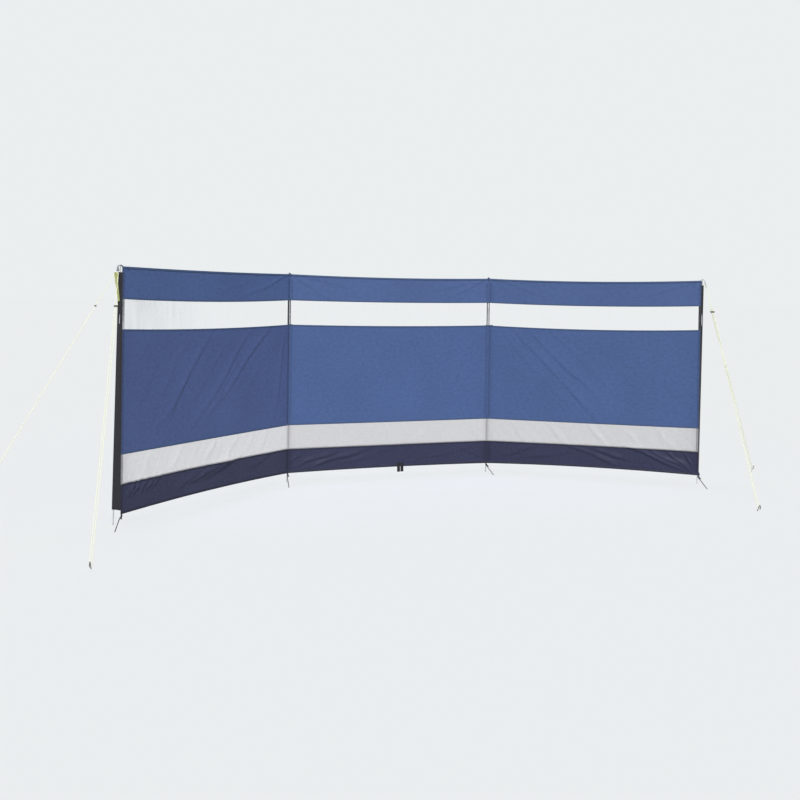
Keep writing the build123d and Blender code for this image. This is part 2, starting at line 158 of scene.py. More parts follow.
def clothMaterial(name, colour, thread, slub, tone, shine, through, threadLines=0.0, gloss=0.22):
    # Woven polyester, dyed and coated: fine even weave, a dull sheen, and some light comes through it
    material, tree = newMaterial(name)
    place = addNode(tree, "ShaderNodeUVMap", {"uv_map": "cloth"})
    # Real threads are 0.3 mm apart and would not show, so they are drawn coarser
    yarn = {"Scale": waveScale(thread), "Distortion": 0.6, "Detail": 1.0}
    warp = addNode(tree, "ShaderNodeTexWave", yarn, {"Vector": place})
    weft = addNode(tree, "ShaderNodeTexWave", {"bands_direction": "Y", **yarn}, {"Vector": place})
    weave = addNode(tree, "ShaderNodeMath", {"operation": "MULTIPLY"},
                    {0: warp.outputs["Fac"], 1: weft.outputs["Fac"]})
    stretched = addNode(tree, "ShaderNodeMapping", {"Scale": (0.7, 1.0, 1.0)}, {"Vector": place})
    slubs = addNode(tree, "ShaderNodeTexNoise", {"Scale": noiseScale(slub), "Detail": 3.0,
                    "Roughness": 0.65}, {"Vector": stretched})
    fade = addNode(tree, "ShaderNodeTexNoise", {"Scale": noiseScale(420), "Detail": 2.0}, {"Vector": place})
    worn = addNode(tree, "ShaderNodeMath", {"operation": "MULTIPLY", 1: 0.3}, {0: fade})
    mottle = addNode(tree, "ShaderNodeMath", {"operation": "MULTIPLY_ADD", 1: 0.85}, {0: slubs, 2: worn})
    stops = ((0.36, shade(colour, 1 - tone)), (0.79, shade(colour, 1 + tone)))
    dyed = addNode(tree, "ShaderNodeValToRGB", {"ramp": stops}, {"Fac": mottle})
    shaded = addNode(tree, "ShaderNodeMapRange", {"To Min": 0.55, "To Max": 1.15}, {"Value": weave})
    threads = addNode(tree, "ShaderNodeMix", {"data_type": "RGBA", "blend_type": "MULTIPLY",
                      0: threadLines}, {6: dyed, 7: shaded}).outputs[2]
    height = addNode(tree, "ShaderNodeMath", {"operation": "MULTIPLY_ADD", 1: 0.35}, {0: slubs, 2: weave})
    bump = addNode(tree, "ShaderNodeBump", {"Strength": 0.35, "Distance": 0.4 * mm}, {"Height": height})
    rough = addNode(tree, "ShaderNodeMapRange", {"To Min": shine - 0.08, "To Max": shine + 0.1},
                    {"Value": slubs})
    front = addNode(tree, "ShaderNodeBsdfPrincipled", {"Specular IOR Level": gloss, "Sheen Weight": gloss / 4,
                    "Sheen Roughness": 0.4}, {"Base Color": threads, "Roughness": rough, "Normal": bump})
    behind = addNode(tree, "ShaderNodeBsdfTranslucent", None, {"Color": threads, "Normal": bump})
    cloth = addNode(tree, "ShaderNodeMixShader", {0: through}, {1: front, 2: behind})
    addNode(tree, "ShaderNodeOutputMaterial", None, {"Surface": cloth})
    return material


def filmMaterial(name, haze, streaks, reach=1.0, clearer=1.0):
    # Clear PVC film, calendered: glossy, nearly colourless, a milky haze where it has been creased
    material, tree = newMaterial(name)
    place = addNode(tree, "ShaderNodeUVMap", {"uv_map": "cloth"})
    stretched = addNode(tree, "ShaderNodeMapping", {"Scale": (1.0, 0.12, 1.0)}, {"Vector": place})
    creases = addNode(tree, "ShaderNodeTexNoise", {"Scale": noiseScale(38), "Detail": 4.0,
                      "Roughness": 0.6}, {"Vector": stretched})
    clouds = addNode(tree, "ShaderNodeTexNoise", {"Scale": noiseScale(240), "Detail": 2.0}, {"Vector": place})
    milky = addNode(tree, "ShaderNodeMath", {"operation": "MULTIPLY"}, {0: creases, 1: clouds})
    whole = addNode(tree, "ShaderNodeMapRange", {"From Min": 0.12, "From Max": 0.42, "To Min": haze,
                    "To Max": haze + streaks}, {"Value": milky})
    along = addNode(tree, "ShaderNodeSeparateXYZ", None, {"Vector": place})
    # The haze thickens towards the start of the bay, so the film there is milkier and darker
    hazeTowardsStart = addNode(tree, "ShaderNodeMapRange", {"interpolation_type": "SMOOTHSTEP", "From Min": 0.0,
                      "From Max": reach * mm, "To Min": 1.0, "To Max": clearer}, {"Value": along})
    cover = addNode(tree, "ShaderNodeMath", {"operation": "MULTIPLY"}, {0: whole, 1: hazeTowardsStart})
    bump = addNode(tree, "ShaderNodeBump", {"Strength": 0.25, "Distance": 1.0 * mm}, {"Height": creases})
    film = addNode(tree, "ShaderNodeBsdfPrincipled", {"Base Color": linear("#cfd1d3"), "IOR": 1.53,
                   "Roughness": 0.16}, {"Alpha": cover, "Normal": bump})
    addNode(tree, "ShaderNodeOutputMaterial", None, {"Surface": film})
    return material


def webbingMaterial(name, colour, rib):
    # Polyester webbing, narrow-loom woven: ribs across the tape and a fuzzy, matt face
    material, tree = newMaterial(name)
    place = addNode(tree, "ShaderNodeUVMap", {"uv_map": "cloth"})
    ribs = addNode(tree, "ShaderNodeTexWave", {"bands_direction": "Y", "Scale": waveScale(rib),
                   "Distortion": 0.8, "Detail": 1.0}, {"Vector": place})
    cords = addNode(tree, "ShaderNodeTexWave", {"bands_direction": "X", "Scale": waveScale(rib * 0.8),
                    "Distortion": 0.4}, {"Vector": place})
    weave = addNode(tree, "ShaderNodeMath", {"operation": "MULTIPLY"},
                    {0: ribs.outputs["Fac"], 1: cords.outputs["Fac"]})
    fuzz = addNode(tree, "ShaderNodeTexNoise", {"Scale": noiseScale(5), "Detail": 3.0}, {"Vector": place})
    stops = ((0.3, shade(colour, 0.72)), (0.7, shade(colour, 1.22)))
    tint = addNode(tree, "ShaderNodeValToRGB", {"ramp": stops}, {"Fac": fuzz})
    shadow = addNode(tree, "ShaderNodeMapRange", {"To Min": 0.62, "To Max": 1.15}, {"Value": weave})
    woven = addNode(tree, "ShaderNodeMix", {"data_type": "RGBA", "blend_type": "MULTIPLY", 0: 1.0},
                    {6: tint, 7: shadow})
    bump = addNode(tree, "ShaderNodeBump", {"Strength": 0.8, "Distance": 0.4 * mm}, {"Height": weave})
    rough = addNode(tree, "ShaderNodeMapRange", {"To Min": 0.7, "To Max": 0.9}, {"Value": fuzz})
    tape = addNode(tree, "ShaderNodeBsdfPrincipled", {"Specular IOR Level": 0.2, "Sheen Weight": 0.1},
                   {"Base Color": woven.outputs[2], "Roughness": rough, "Normal": bump})
    addNode(tree, "ShaderNodeOutputMaterial", None, {"Surface": tape})
    return material


def metalMaterial(name, colour, roughLow, roughHigh, grain, dull):
    # Plated or galvanised steel: a soft metal shine with crystals and handling marks
    material, tree = newMaterial(name)
    place = addNode(tree, "ShaderNodeTexCoord").outputs["Object"]
    spangle = addNode(tree, "ShaderNodeTexVoronoi", {"Scale": noiseScale(grain)}, {"Vector": place})
    smears = addNode(tree, "ShaderNodeTexNoise", {"Scale": noiseScale(grain * 3), "Detail": 4.0},
                     {"Vector": place})
    stops = ((0.35, shade(colour, 1 - dull)), (0.65, linear(colour)))
    tint = addNode(tree, "ShaderNodeValToRGB", {"ramp": stops}, {"Fac": smears})
    rough = addNode(tree, "ShaderNodeMapRange", {"To Min": roughLow, "To Max": roughHigh}, {"Value": smears})
    bump = addNode(tree, "ShaderNodeBump", {"Strength": 0.12, "Distance": 0.2 * mm}, {"Height": spangle})
    steel = addNode(tree, "ShaderNodeBsdfPrincipled", {"Metallic": 1.0},
                    {"Base Color": tint, "Roughness": rough, "Normal": bump})
    addNode(tree, "ShaderNodeOutputMaterial", None, {"Surface": steel})
    return material


def plasticMaterial(name, colour, grit):
    # Moulded acetal: fine spark-eroded grain, satin shine, paler scuffs
    material, tree = newMaterial(name)
    place = addNode(tree, "ShaderNodeTexCoord").outputs["Object"]
    grain = addNode(tree, "ShaderNodeTexNoise", {"Scale": noiseScale(grit), "Detail": 2.0}, {"Vector": place})
    scuffs = addNode(tree, "ShaderNodeTexNoise", {"Scale": noiseScale(grit * 14), "Detail": 5.0},
                     {"Vector": place})
    scuffed = [min(1.0, c * 1.9 + 0.01) for c in linear(colour)[:3]] + [1.0]
    tint = addNode(tree, "ShaderNodeValToRGB", {"ramp": ((0.55, linear(colour)), (0.8, scuffed))},
                   {"Fac": scuffs})
    bump = addNode(tree, "ShaderNodeBump", {"Strength": 0.3, "Distance": 0.1 * mm}, {"Height": grain})
    rough = addNode(tree, "ShaderNodeMapRange", {"To Min": 0.4, "To Max": 0.6}, {"Value": scuffs})
    body = addNode(tree, "ShaderNodeBsdfPrincipled", {"IOR": 1.48},
                   {"Base Color": tint, "Roughness": rough, "Normal": bump})
    addNode(tree, "ShaderNodeOutputMaterial", None, {"Surface": body})
    return material


def cordMaterial(name, colour, fleck, braid):
    # Braided polypropylene: crossed strands round the cord, waxy shine, a darker fleck strand
    material, tree = newMaterial(name)
    place = addNode(tree, "ShaderNodeUVMap", {"uv_map": "cord"})
    heights = []
    for slant in (1, -1):  # strands that climb to the left and to the right
        turned = addNode(tree, "ShaderNodeMapping", {"Rotation": (0, 0, slant * math.radians(35))},
                         {"Vector": place})
        strands = addNode(tree, "ShaderNodeTexWave", {"Scale": waveScale(braid)}, {"Vector": turned})
        heights.append(strands.outputs["Fac"])
    crossed = addNode(tree, "ShaderNodeMath", {"operation": "MAXIMUM"}, {0: heights[0], 1: heights[1]})
    flecks = addNode(tree, "ShaderNodeMath", {"operation": "GREATER_THAN", 1: 0.93}, {0: heights[0]})
    body = addNode(tree, "ShaderNodeMix", {"data_type": "RGBA", 6: linear(colour), 7: linear(fleck)},
                   {0: flecks})
    shadow = addNode(tree, "ShaderNodeMapRange", {"To Min": 0.6, "To Max": 1.08}, {"Value": crossed})
    shaded = addNode(tree, "ShaderNodeMix", {"data_type": "RGBA", "blend_type": "MULTIPLY", 0: 1.0},
                     {6: body.outputs[2], 7: shadow})
    bump = addNode(tree, "ShaderNodeBump", {"Strength": 0.7, "Distance": 0.4 * mm}, {"Height": crossed})
    line = addNode(tree, "ShaderNodeBsdfPrincipled", {"Roughness": 0.45, "Specular IOR Level": 0.3},
                   {"Base Color": shaded.outputs[2], "Normal": bump})
    addNode(tree, "ShaderNodeOutputMaterial", None, {"Surface": line})
    return material


def threadMaterial(name, colour):
    # Bonded polyester sewing thread: a plied twist with a soft shine
    material, tree = newMaterial(name)
    place = addNode(tree, "ShaderNodeTexCoord").outputs["Object"]
    twist = addNode(tree, "ShaderNodeTexNoise", {"Scale": noiseScale(2.5), "Detail": 2.0}, {"Vector": place})
    tint = addNode(tree, "ShaderNodeValToRGB", {"ramp": ((0, shade(colour, 0.7)), (1, shade(colour, 1.3)))},
                   {"Fac": twist})
    thread = addNode(tree, "ShaderNodeBsdfPrincipled", {"Roughness": 0.55, "Specular IOR Level": 0.25},
                     {"Base Color": tint})
    addNode(tree, "ShaderNodeOutputMaterial", None, {"Surface": thread})
    return material


# Cloths have their colour, spacing of threads and of slubs in mm, mottling, roughness, light let through,
# strength of thread lines and gloss
finishes = {
    "blue": clothMaterial("coatedBluePolyester", "#455a87", 3.0, 20, 0.13, 0.62, 0.2, 0.4),
    # The left bay's blue is painted darker: painted shade where that bay turns away from the key light
    "shadedBlue": clothMaterial("coatedBluePolyesterLeft", "#475783", 3.0, 20, 0.14, 0.62, 0.2, 0.4),
    "topBlue": clothMaterial("coatedBluePolyesterTop", "#485c89", 3.0, 20, 0.13, 0.62, 0.2, 0.4),
    # Blue seam tape is painted darker than the blue: painted shade of the doubled layers, which let less
    # light through
    "seamBlue": clothMaterial("doubledBluePolyester", "#43567a", 3.0, 11, 0.06, 0.66, 0.06, 0.5),
    "navy": clothMaterial("coatedNavyPolyester", "#383a52", 3.0, 14, 0.22, 0.44, 0.28, 0.5, 0.12),
    # The left bay's navy is painted paler: painted light to make up for the key light that bay turns away
    # from
    "leftNavy": clothMaterial("coatedNavyPolyesterLeft", "#3e4057", 3.0, 14, 0.22, 0.5, 0.28, 0.5, 0.05),
    # Navy seam tape is painted darker than the navy: painted shade of the doubled layers, which let less
    # light through
    "seamNavy": clothMaterial("doubledNavyPolyester", "#292b3b", 3.0, 11, 0.08, 0.6, 0.04, 0.5),
    "grey": clothMaterial("lightGreyPolyester", "#d3d2d4", 3.4, 20, 0.05, 0.66, 0.62, 0.25),
    # The left bay's grey is painted paler: painted light, as if more light came through it from behind
    "leftGrey": clothMaterial("lightGreyPolyesterLeft", "#e4e3e5", 3.4, 20, 0.05, 0.66, 0.62, 0.25),
    # The right bay's grey is painted a little paler than the middle bay's: painted light for how light falls
    # on that bay
    "rightGrey": clothMaterial("lightGreyPolyesterRight", "#d9d8da", 3.4, 20, 0.05, 0.66, 0.62, 0.25),
    "black": clothMaterial("blackPolyesterSleeving", "#2a2a2e", 3.0, 14, 0.2, 0.62, 0.0, 0.6),
    "clear": filmMaterial("clearPvcFilm", 0.02, 0.05),
    "hazy": filmMaterial("creasedPvcFilm", 0.25, 0.95, 900, 0.04),
    "blackTape": webbingMaterial("blackPolyesterWebbing", "#26262a", 1.9),
    "wornTape": webbingMaterial("fadedBlackPolyesterWebbing", "#3b3c40", 1.9),
    "greyTape": webbingMaterial("greyPolyesterWebbing", "#9a9da2", 1.9),
    "tube": metalMaterial("galvanisedSteelTube", "#d2d5d8", 0.48, 0.66, 6, 0.2),
    "peg": metalMaterial("zincPlatedSteelRod", "#8d9093", 0.3, 0.5, 2.5, 0.35),
    "ring": metalMaterial("nickelPlatedSteelWire", "#c2c4c6", 0.16, 0.3, 2, 0.15),
    "plastic": plasticMaterial("mouldedBlackAcetal", "#1d1d20", 0.8),
    "greyPlastic": plasticMaterial("mouldedGreyAcetal", "#a3a6a9", 0.8),
    "runner": plasticMaterial("mouldedCharcoalAcetal", "#2a2b2f", 0.8),
    "lime": cordMaterial("braidedLimePolypropylene", "#e6ebcc", "#c0c792", 2.6),
    # A darker copy of the lime cord for the packed spare loops: partly the cord's deeper colour, partly
    # painted shade among the loops
    "bundledLime": cordMaterial("weatheredLimePolypropylene", "#b3b778", "#7d814a", 2.6),
    "thread": threadMaterial("navyPolyesterThread", "#2b3350"),
    "darkThread": threadMaterial("blackPolyesterThread", "#1a1a1d"),
}
print("materials ready,", len(finishes))


# Bays, read from the frame: where each run of cloth starts and which way it goes

bandNames = ["skirt", "mesh_band", "main_panel", "window", "top_band"]
bayRuns = {"left": 1, "middle": 0, "right": -1}  # rises, keeps or falls in Y towards the right


class Bay:
    def __init__(self, name):
        low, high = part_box(name + "_main_panel")
        run = bayRuns[name]
        centre = (low.y + high.y) / 2
        startY, endY = (low.y, high.y) if run > 0 else (high.y, low.y) if run < 0 else (centre, centre)
        self.name = name
        self.start = Vector((low.x, startY, 0))
        self.end = Vector((high.x, endY, 0))
        self.width = (self.end - self.start).length
        self.along = (self.end - self.start).normalized()
        self.front = self.along.cross(up)
        boxes = [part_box(name + "_" + band) for band in bandNames]
        self.levels = [boxes[i][0].z for i in range(3)] + [boxes[i][1].z for i in range(2, 5)]


# How each bay hangs. Sag is each seam's drop at mid-bay from the ground hem up. Folds and ridges run
# from one place to another, each as share of the width and height in mm, then half width and depth.
# A fold drops quickly on its lower side, and a ridge is even. Fine tension wrinkles all lean one way,
# by an angle from level
hang = {
    "left": {
        "sag": (-15, -6, 0, 13, 15, 6),
        "belly": 9,
        "lean": 62,
        "folds": [
            ((0.5, 1185), (0.17, 500), 20, 4.1), ((0.76, 1185), (0.36, 500), 20, 4.3),
            ((0.87, 1185), (0.44, 560), 19, 5.1), ((0.975, 1160), (0.89, 500), 19, 3.5),
            ((0.62, 1160), (0.31, 560), 18, 1.2), ((0.93, 1175), (0.68, 640), 18, 1.2),
            ((0.37, 1160), (0.13, 600), 19, 1.0), ((0.25, 1150), (0.06, 640), 19, 0.8),
            ((0.36, 880), (0.22, 560), 16, 3.0), ((0.68, 980), (0.5, 660), 16, 2.2),
            ((1, 1580), (0.67, 1385), 11, 3.5), ((0.95, 1565), (0.78, 1420), 10, 2.9),
            ((0.72, 1510), (0.48, 1410), 13, 1.4), ((0.02, 1560), (0.3, 1480), 14, 1.7),
            ((0.67, 270), (0.42, 175), 20, 12.3), ((0.58, 265), (0.33, 180), 18, 10.1),
            ((0.44, 248), (0.27, 150), 18, 5.7), ((0.07, 264), (0.03, 160), 11, 9.2),
            ((0.1, 264), (0.055, 160), 11, 9.2), ((0.14, 264), (0.09, 185), 11, 8.8),
            ((0.175, 262), (0.12, 185), 11, 8.8), ((0.215, 260), (0.15, 190), 12, 7.0),
            ((0.9, 262), (0.7, 170), 18, 5.3),
        ],
        "ridges": [
            ((0.33, 440), (0.25, 254), 19, 2.9), ((0.52, 440), (0.43, 254), 19, 2.8),
            ((0.66, 440), (0.56, 254), 19, 2.9), ((0.86, 440), (0.79, 254), 19, 2.8),
            ((0.16, 440), (0.09, 254), 19, 2.8), ((0.76, 435), (0.7, 275), 19, 1.8),
        ],
    },
    "middle": {
        "sag": (-8, 0, 2, 9, 8, 12),
        "belly": 8,
        "lean": 48,
        "folds": [
            ((-0.01, 1585), (0.18, 1390), 11, 3.1), ((1, 1582), (0.77, 1390), 11, 3.1),
            ((0.01, 1568), (0.31, 1462), 13, 1.7), ((0.98, 1552), (0.65, 1448), 13, 1.5),
            ((0.05, 1478), (0.19, 1390), 10, 1.5), ((0.94, 1488), (0.81, 1390), 10, 1.5),
            ((0.05, 1140), (0.23, 600), 16, 1.3), ((0.94, 1120), (0.77, 580), 16, 1.1),
            ((0.03, 105), (0.26, 248), 14, 8.5), ((0.1, 112), (0.43, 262), 16, 8.5),
            ((0.005, 130), (0.065, 248), 11, 5.8), ((0.24, 118), (0.55, 235), 16, 3.7),
            ((0.62, 130), (0.94, 215), 17, 4.4), ((0.98, 110), (0.84, 235), 13, 4.4),
        ],
        "ridges": [
            ((0.2, 436), (0.29, 256), 19, 2.2), ((0.72, 436), (0.63, 256), 19, 2.2),
            ((0.9, 438), (0.97, 256), 19, 2.0), ((0.46, 436), (0.52, 260), 19, 1.6),
        ],
    },
    "right": {
        "sag": (-14, -4, 2, 17, 14, 16),
        "belly": 8,
        "lean": 128,
        "folds": [
            ((0.11, 1190), (0.56, 400), 15, 3.0), ((0.19, 1180), (0.56, 600), 15, 2.5),
            ((0.06, 1160), (0.38, 580), 15, 1.2), ((0.28, 1190), (0.6, 720), 15, 1.3),
            ((0.985, 1575), (0.955, 1375), 7, 2.6), ((0.98, 1570), (0.7, 1432), 12, 1.6),
            ((0.01, 1572), (0.27, 1438), 12, 1.8), ((0.38, 262), (0.67, 105), 14, 6.7),
            ((0.5, 250), (0.7, 140), 14, 6.7), ((0.65, 268), (0.97, 98), 16, 8.6),
            ((0.77, 258), (0.97, 104), 12, 7.0), ((0.85, 260), (0.975, 108), 11, 6.7),
            ((0.93, 255), (0.985, 114), 8, 5.8), ((0.08, 138), (0.26, 256), 14, 5.8),
            ((0.16, 128), (0.4, 200), 17, 3.8),
        ],
        "ridges": [
            ((0.3, 438), (0.38, 254), 19, 2.8), ((0.48, 440), (0.58, 254), 19, 2.9),
            ((0.64, 440), (0.74, 254), 19, 2.9), ((0.8, 440), (0.89, 254), 19, 2.9),
            ((0.12, 438), (0.19, 256), 19, 1.8),
        ],
    },
}
foldForm = {"overrun": 0.12, "startWidth": 0.75, "gain": 0.5, "reach": 6, "wander": 1.6, "uneven": 0.6,
            "fadeIn": 0.4, "fadeOut": 0.5, "gentle": 1.8, "steep": 0.6, "dip": 0.35, "dipSpread": 2.4,
            "wanderRate": 2.2, "unevenRate": 4.5}  # widths are in half widths of the fold
tension = {"pitch": 34, "length": 330, "bend": 30, "bendLength": 500, "bendWidth": 600, "fade": 30,
           "finer": 2.3, "finerShare": 0.45, "depth": (0.9, 1.0, 0.34, 0.0, 0.5)}  # depth by band, ground up
drape = {"held": 0.04, "atPole": 0.4, "atHem": 0.35, "broad": 320, "broadHeight": 0.9, "fine": 90,
         "fineHeight": 0.3}


def foldHeight(fold, along, level, width, even):
    (shareA, levelA), (shareB, levelB), half, depth = fold
    startX, startY = shareA * width, levelA * mm
    runX, runY = shareB * width - startX, levelB * mm - startY
    length = math.hypot(runX, runY)
    placeX, placeY = along - startX, level - startY
    travel = (placeX * runX + placeY * runY) / length ** 2
    over = foldForm["overrun"]
    if not -over < travel < 1 + over:
        return 0.0
    above = (placeY * runX - placeX * runY) / length * (1 if runX > 0 else -1)
    above /= half * mm * (foldForm["startWidth"] + foldForm["gain"] * travel)
    if abs(above) > foldForm["reach"]:
        return 0.0
    # No fold is quite straight or even, and its ends give it a place of its own in the noise
    bendAt = Vector((travel * foldForm["wanderRate"], shareA * 31, levelA * 0.07))
    depthAt = Vector((travel * foldForm["unevenRate"], shareB * 29, levelB * 0.09))
    above += noise.noise(bendAt) * foldForm["wander"]
    depth *= 1 + foldForm["uneven"] * noise.noise(depthAt)
    taper = smoothStep((travel + over) / foldForm["fadeIn"])
    taper *= smoothStep((1 + over - travel) / foldForm["fadeOut"])
    if even:
        crest = math.exp(-above ** 2)
    elif above > 0:
        crest = math.exp(-(above / foldForm["gentle"]) ** 2)
    else:
        crest = (1 + foldForm["dip"]) * math.exp(-(above / foldForm["steep"]) ** 2)
        crest -= foldForm["dip"] * math.exp(-(above / foldForm["dipSpread"]) ** 2)
    return depth * mm * taper * crest


def wrinkle(bay, along, level):  # fine creases that follow the pull of the guys
    lean = math.radians(hang[bay.name]["lean"])
    across = along * math.sin(lean) - level * math.cos(lean)
    run = along * math.cos(lean) + level * math.sin(lean)
    bendAt = Vector((run / (tension["bendLength"] * mm), across / (tension["bendWidth"] * mm), 4.0))
    across += tension["bend"] * mm * noise.noise(bendAt)
    spot = Vector((across / (tension["pitch"] * mm), run / (tension["length"] * mm), bayRuns[bay.name]))
    fade = tension["fade"] * mm
    depth = 0.0
    for index, amount in enumerate(tension["depth"]):
        low, high = bay.levels[index], bay.levels[index + 1]
        depth += amount * smoothStep((level - low) / fade + 0.5) * smoothStep((high - level) / fade + 0.5)
    return depth * mm * (noise.noise(spot) + tension["finerShare"] * noise.noise(spot * tension["finer"]))


def clothOffset(bay, along, level):  # how far the cloth stands in front of its flat plane
    share = along / bay.width
    low, high = bay.levels[0], bay.levels[-1]
    rise = (level - low) / (high - low)
    shape = hang[bay.name]
    held = smoothStep(share / drape["held"]) * smoothStep((1 - share) / drape["held"])  # flat at the poles
    belly = -shape["belly"] * mm * math.sin(math.pi * share)
    belly *= drape["atHem"] + (1 - drape["atHem"]) * math.sin(math.pi * rise)
    loose = sum(foldHeight(fold, along, level, bay.width, False) for fold in shape["folds"])
    loose += sum(foldHeight(ridge, along, level, bay.width, True) for ridge in shape["ridges"])
    loose += wrinkle(bay, along, level)
    spot = Vector((along + 7 * bayRuns[bay.name], level, 0.0))
    ripple = drape["broadHeight"] * noise.noise(spot / (drape["broad"] * mm))
    ripple += drape["fineHeight"] * noise.noise(spot / (drape["fine"] * mm))
    return held * (belly + loose + ripple * mm) + (1 - held) * loose * drape["atPole"]


def seamLevel(bay, index, share):  # height of a seam at a share of the width
    return bay.levels[index] - hang[bay.name]["sag"][index] * mm * 4 * share * (1 - share)


toe = {"right": 16, "rise": 60, "run": 90}  # the last corner is pulled out to its peg


def clothPoint(bay, along, level, stand=0.0):
    offset = clothOffset(bay, along, level) + stand
    low = smoothStep(1 - (level - bay.levels[0]) / (toe["rise"] * mm))
    last = smoothStep(1 - (bay.width - along) / (toe["run"] * mm))
    reach = along + toe.get(bay.name, 0) * mm * low * last
    return bay.start + bay.along * reach + up * level + bay.front * offset


cloth = {"step": {"skirt": 5, "mesh_band": 6}, "plainStep": 7, "thickness": 0.7}
ripples = {"pitch": 46, "height": 0.4, "wander": 5, "wanderRun": 110, "wanderRise": 400}  # in the window film


def clothBand(bay, index):
    bm, uv = newMesh("cloth")
    step = cloth["step"].get(bandNames[index], cloth["plainStep"]) * mm
    columns = round(bay.width / step)
    rows = round((bay.levels[index + 1] - bay.levels[index]) / step)

    def spotAt(column, row):
        share = column / columns
        low, high = seamLevel(bay, index, share), seamLevel(bay, index + 1, share)
        return share * bay.width, low + (high - low) * row / rows

    def placeAt(column, row):
        along, level = spotAt(column, row)
        stand = 0.0
        if bandNames[index] == "window":
            spot = Vector((along / (ripples["wanderRun"] * mm), level / (ripples["wanderRise"] * mm),
                           bayRuns[bay.name]))
            phase = 2 * math.pi * along / (ripples["pitch"] * mm) + ripples["wander"] * noise.noise(spot)
            fullness = math.sin(math.pi * row / rows) * math.sin(math.pi * column / columns)
            stand = ripples["height"] * mm * math.sin(phase) * fullness
        return clothPoint(bay, along, level, stand)

    layGrid(bm, columns, rows, placeAt, uv, spotAt)
    return bm


# Seam tapes and stitching, laid on the cloth

seam = {"width": 11, "lap": 2, "stand": 0.75, "thickness": 0.5, "step": 7, "hem": 15, "pitch": 6.4,
        "thread": 0.5, "dip": 0.6, "margin": 2.4, "endMargin": 15, "pucker": 0.3, "puckerPitch": 21,
        "puckerWander": 4, "wanderRun": 50}
below, above = (-seam["width"] + seam["lap"], seam["lap"]), (-seam["lap"], seam["width"] - seam["lap"])
seamRows = [  # seam index, from and to in mm above the seam, finish
    (0, 0, seam["hem"], "navy"), (1, *below, "navy"), (2, *above, "blue"),
    (3, *below, "blue"), (4, *above, "blue"), (5, -seam["hem"], 0, "blue"),
]
allowances = [(1, -4, 9, "navy")]  # turned up behind the paler band, where it shows through


def puckered(bay, along, index):
    wander = noise.noise(Vector((along / (seam["wanderRun"] * mm), index * 3.7, bayRuns[bay.name] * 2.1)))
    phase = 2 * math.pi * along / (seam["puckerPitch"] * mm) + seam["puckerWander"] * wander
    return seam["pucker"] * mm * math.sin(phase)


def layTape(bm, uv, bay, index, low, high, stand):
    columns = round(bay.width / (seam["step"] * mm))

    def spotAt(column, row):
        share = column / columns
        return share * bay.width, seamLevel(bay, index, share) + (low + (high - low) * row / 2) * mm

    def placeAt(column, row):
        along, level = spotAt(column, row)
        return clothPoint(bay, along, level, stand * mm + puckered(bay, along, index))

    layGrid(bm, columns, 2, placeAt, uv, spotAt)


def seamTapes(bay, finish):
    bm, uv = newMesh("cloth")
    for rows, stand in ((seamRows, seam["stand"]), (allowances, -seam["stand"])):
        for index, low, high, colour in rows:
            if colour == finish:
                layTape(bm, uv, bay, index, low, high, stand)
    return bm


def stitchRow(bm, spots, across, out, thread):  # thread that dips under the cloth between its stitches
    def placeAt(column, row):
        side = row - 1
        lift = -seam["dip"] if column % 3 == 0 else (1.0 if side == 0 else 0.0)
        return spots[column] + across * side * thread + out * lift * thread

    layGrid(bm, len(spots) - 1, 2, placeAt)


def bayStitching(bay):
    bm = bmesh.new()
    pitch = seam["pitch"] * mm / 3
    margin = seam["endMargin"] * mm
    count = int((bay.width - 2 * margin) / pitch / 3) * 3
    for index, low, high, _ in seamRows:
        for line in (low + seam["margin"], high - seam["margin"]):
            for face, stand in ((1, seam["stand"] + seam["thickness"] / 2), (-1, -cloth["thickness"] / 2)):
                spots = []
                for step in range(count + 1):
                    along = margin + step * pitch
                    level = seamLevel(bay, index, along / bay.width) + line * mm
                    lift = stand * mm + (puckered(bay, along, index) if face > 0 else 0.0)
                    spots.append(clothPoint(bay, along, level, lift))
                stitchRow(bm, spots, up, bay.front * face, seam["thread"] * mm)
    return bm


bays = {name: Bay(name) for name in bayRuns}
bandLook = {  # piece, finish and slot of each band
    "skirt": ("skirt_cloth", "navy", "navy_cloth"), "mesh_band": ("grey_band", "grey", "grey_band_cloth"),
    "main_panel": ("main_cloth", "blue", "blue_cloth"), "window": ("window_film", "clear", "window_film"),
    "top_band": ("top_cloth", "topBlue", "blue_cloth"),
}
# The left bay's blue is painted darker, painted shade where that bay turns from the key light. Its grey and
# navy, and the right bay's grey, are painted paler: painted light for how light falls on and through each
# bay.
bayFinish = {  # the left bay's film is hazier and its cloth more creased; its cloth colours and the right grey carry painted shade and light
    "left": {"main_panel": "shadedBlue", "window": "hazy", "mesh_band": "leftGrey", "skirt": "leftNavy"},
    "middle": {},
    "right": {"mesh_band": "rightGrey"},
}

for bay in bays.values():
    # Seam tapes take the darker seam finishes, painted shade of the doubled cloth
    blueSeams = makePiece(bay.name + "_blue_seams", seamTapes(bay, "blue"), finishes["seamBlue"],
                          thickness=seam["thickness"])
    navySeams = makePiece(bay.name + "_navy_seams", seamTapes(bay, "navy"), finishes["seamNavy"],
                          thickness=seam["thickness"])
    stitching = makePiece(bay.name + "_stitching", bayStitching(bay), finishes["thread"])
    for index, (band, (pieceName, finish, slot)) in enumerate(bandLook.items()):
        finish = bayFinish[bay.name].get(band, finish)
        piece = makePiece(bay.name + "_" + pieceName, clothBand(bay, index), finishes[finish],
                          [bay.name + "_" + band])
    print(bay.name, "bay hung")


# Strips of webbing or cloth along a path, and tubes of wire or cord along a path

def layStrip(bm, uv, path, side, width, columns=4):  # side is the way across, the same all along
    lengths = [0.0]
    for a, b in zip(path, path[1:]):
        lengths.append(lengths[-1] + (b - a).length)

    def across(column):
        return (column / columns - 0.5) * width

    return layGrid(bm, columns, len(path) - 1, lambda column, row: path[row] + side * across(column), uv,
                   lambda column, row: (across(column), lengths[row]))[0]


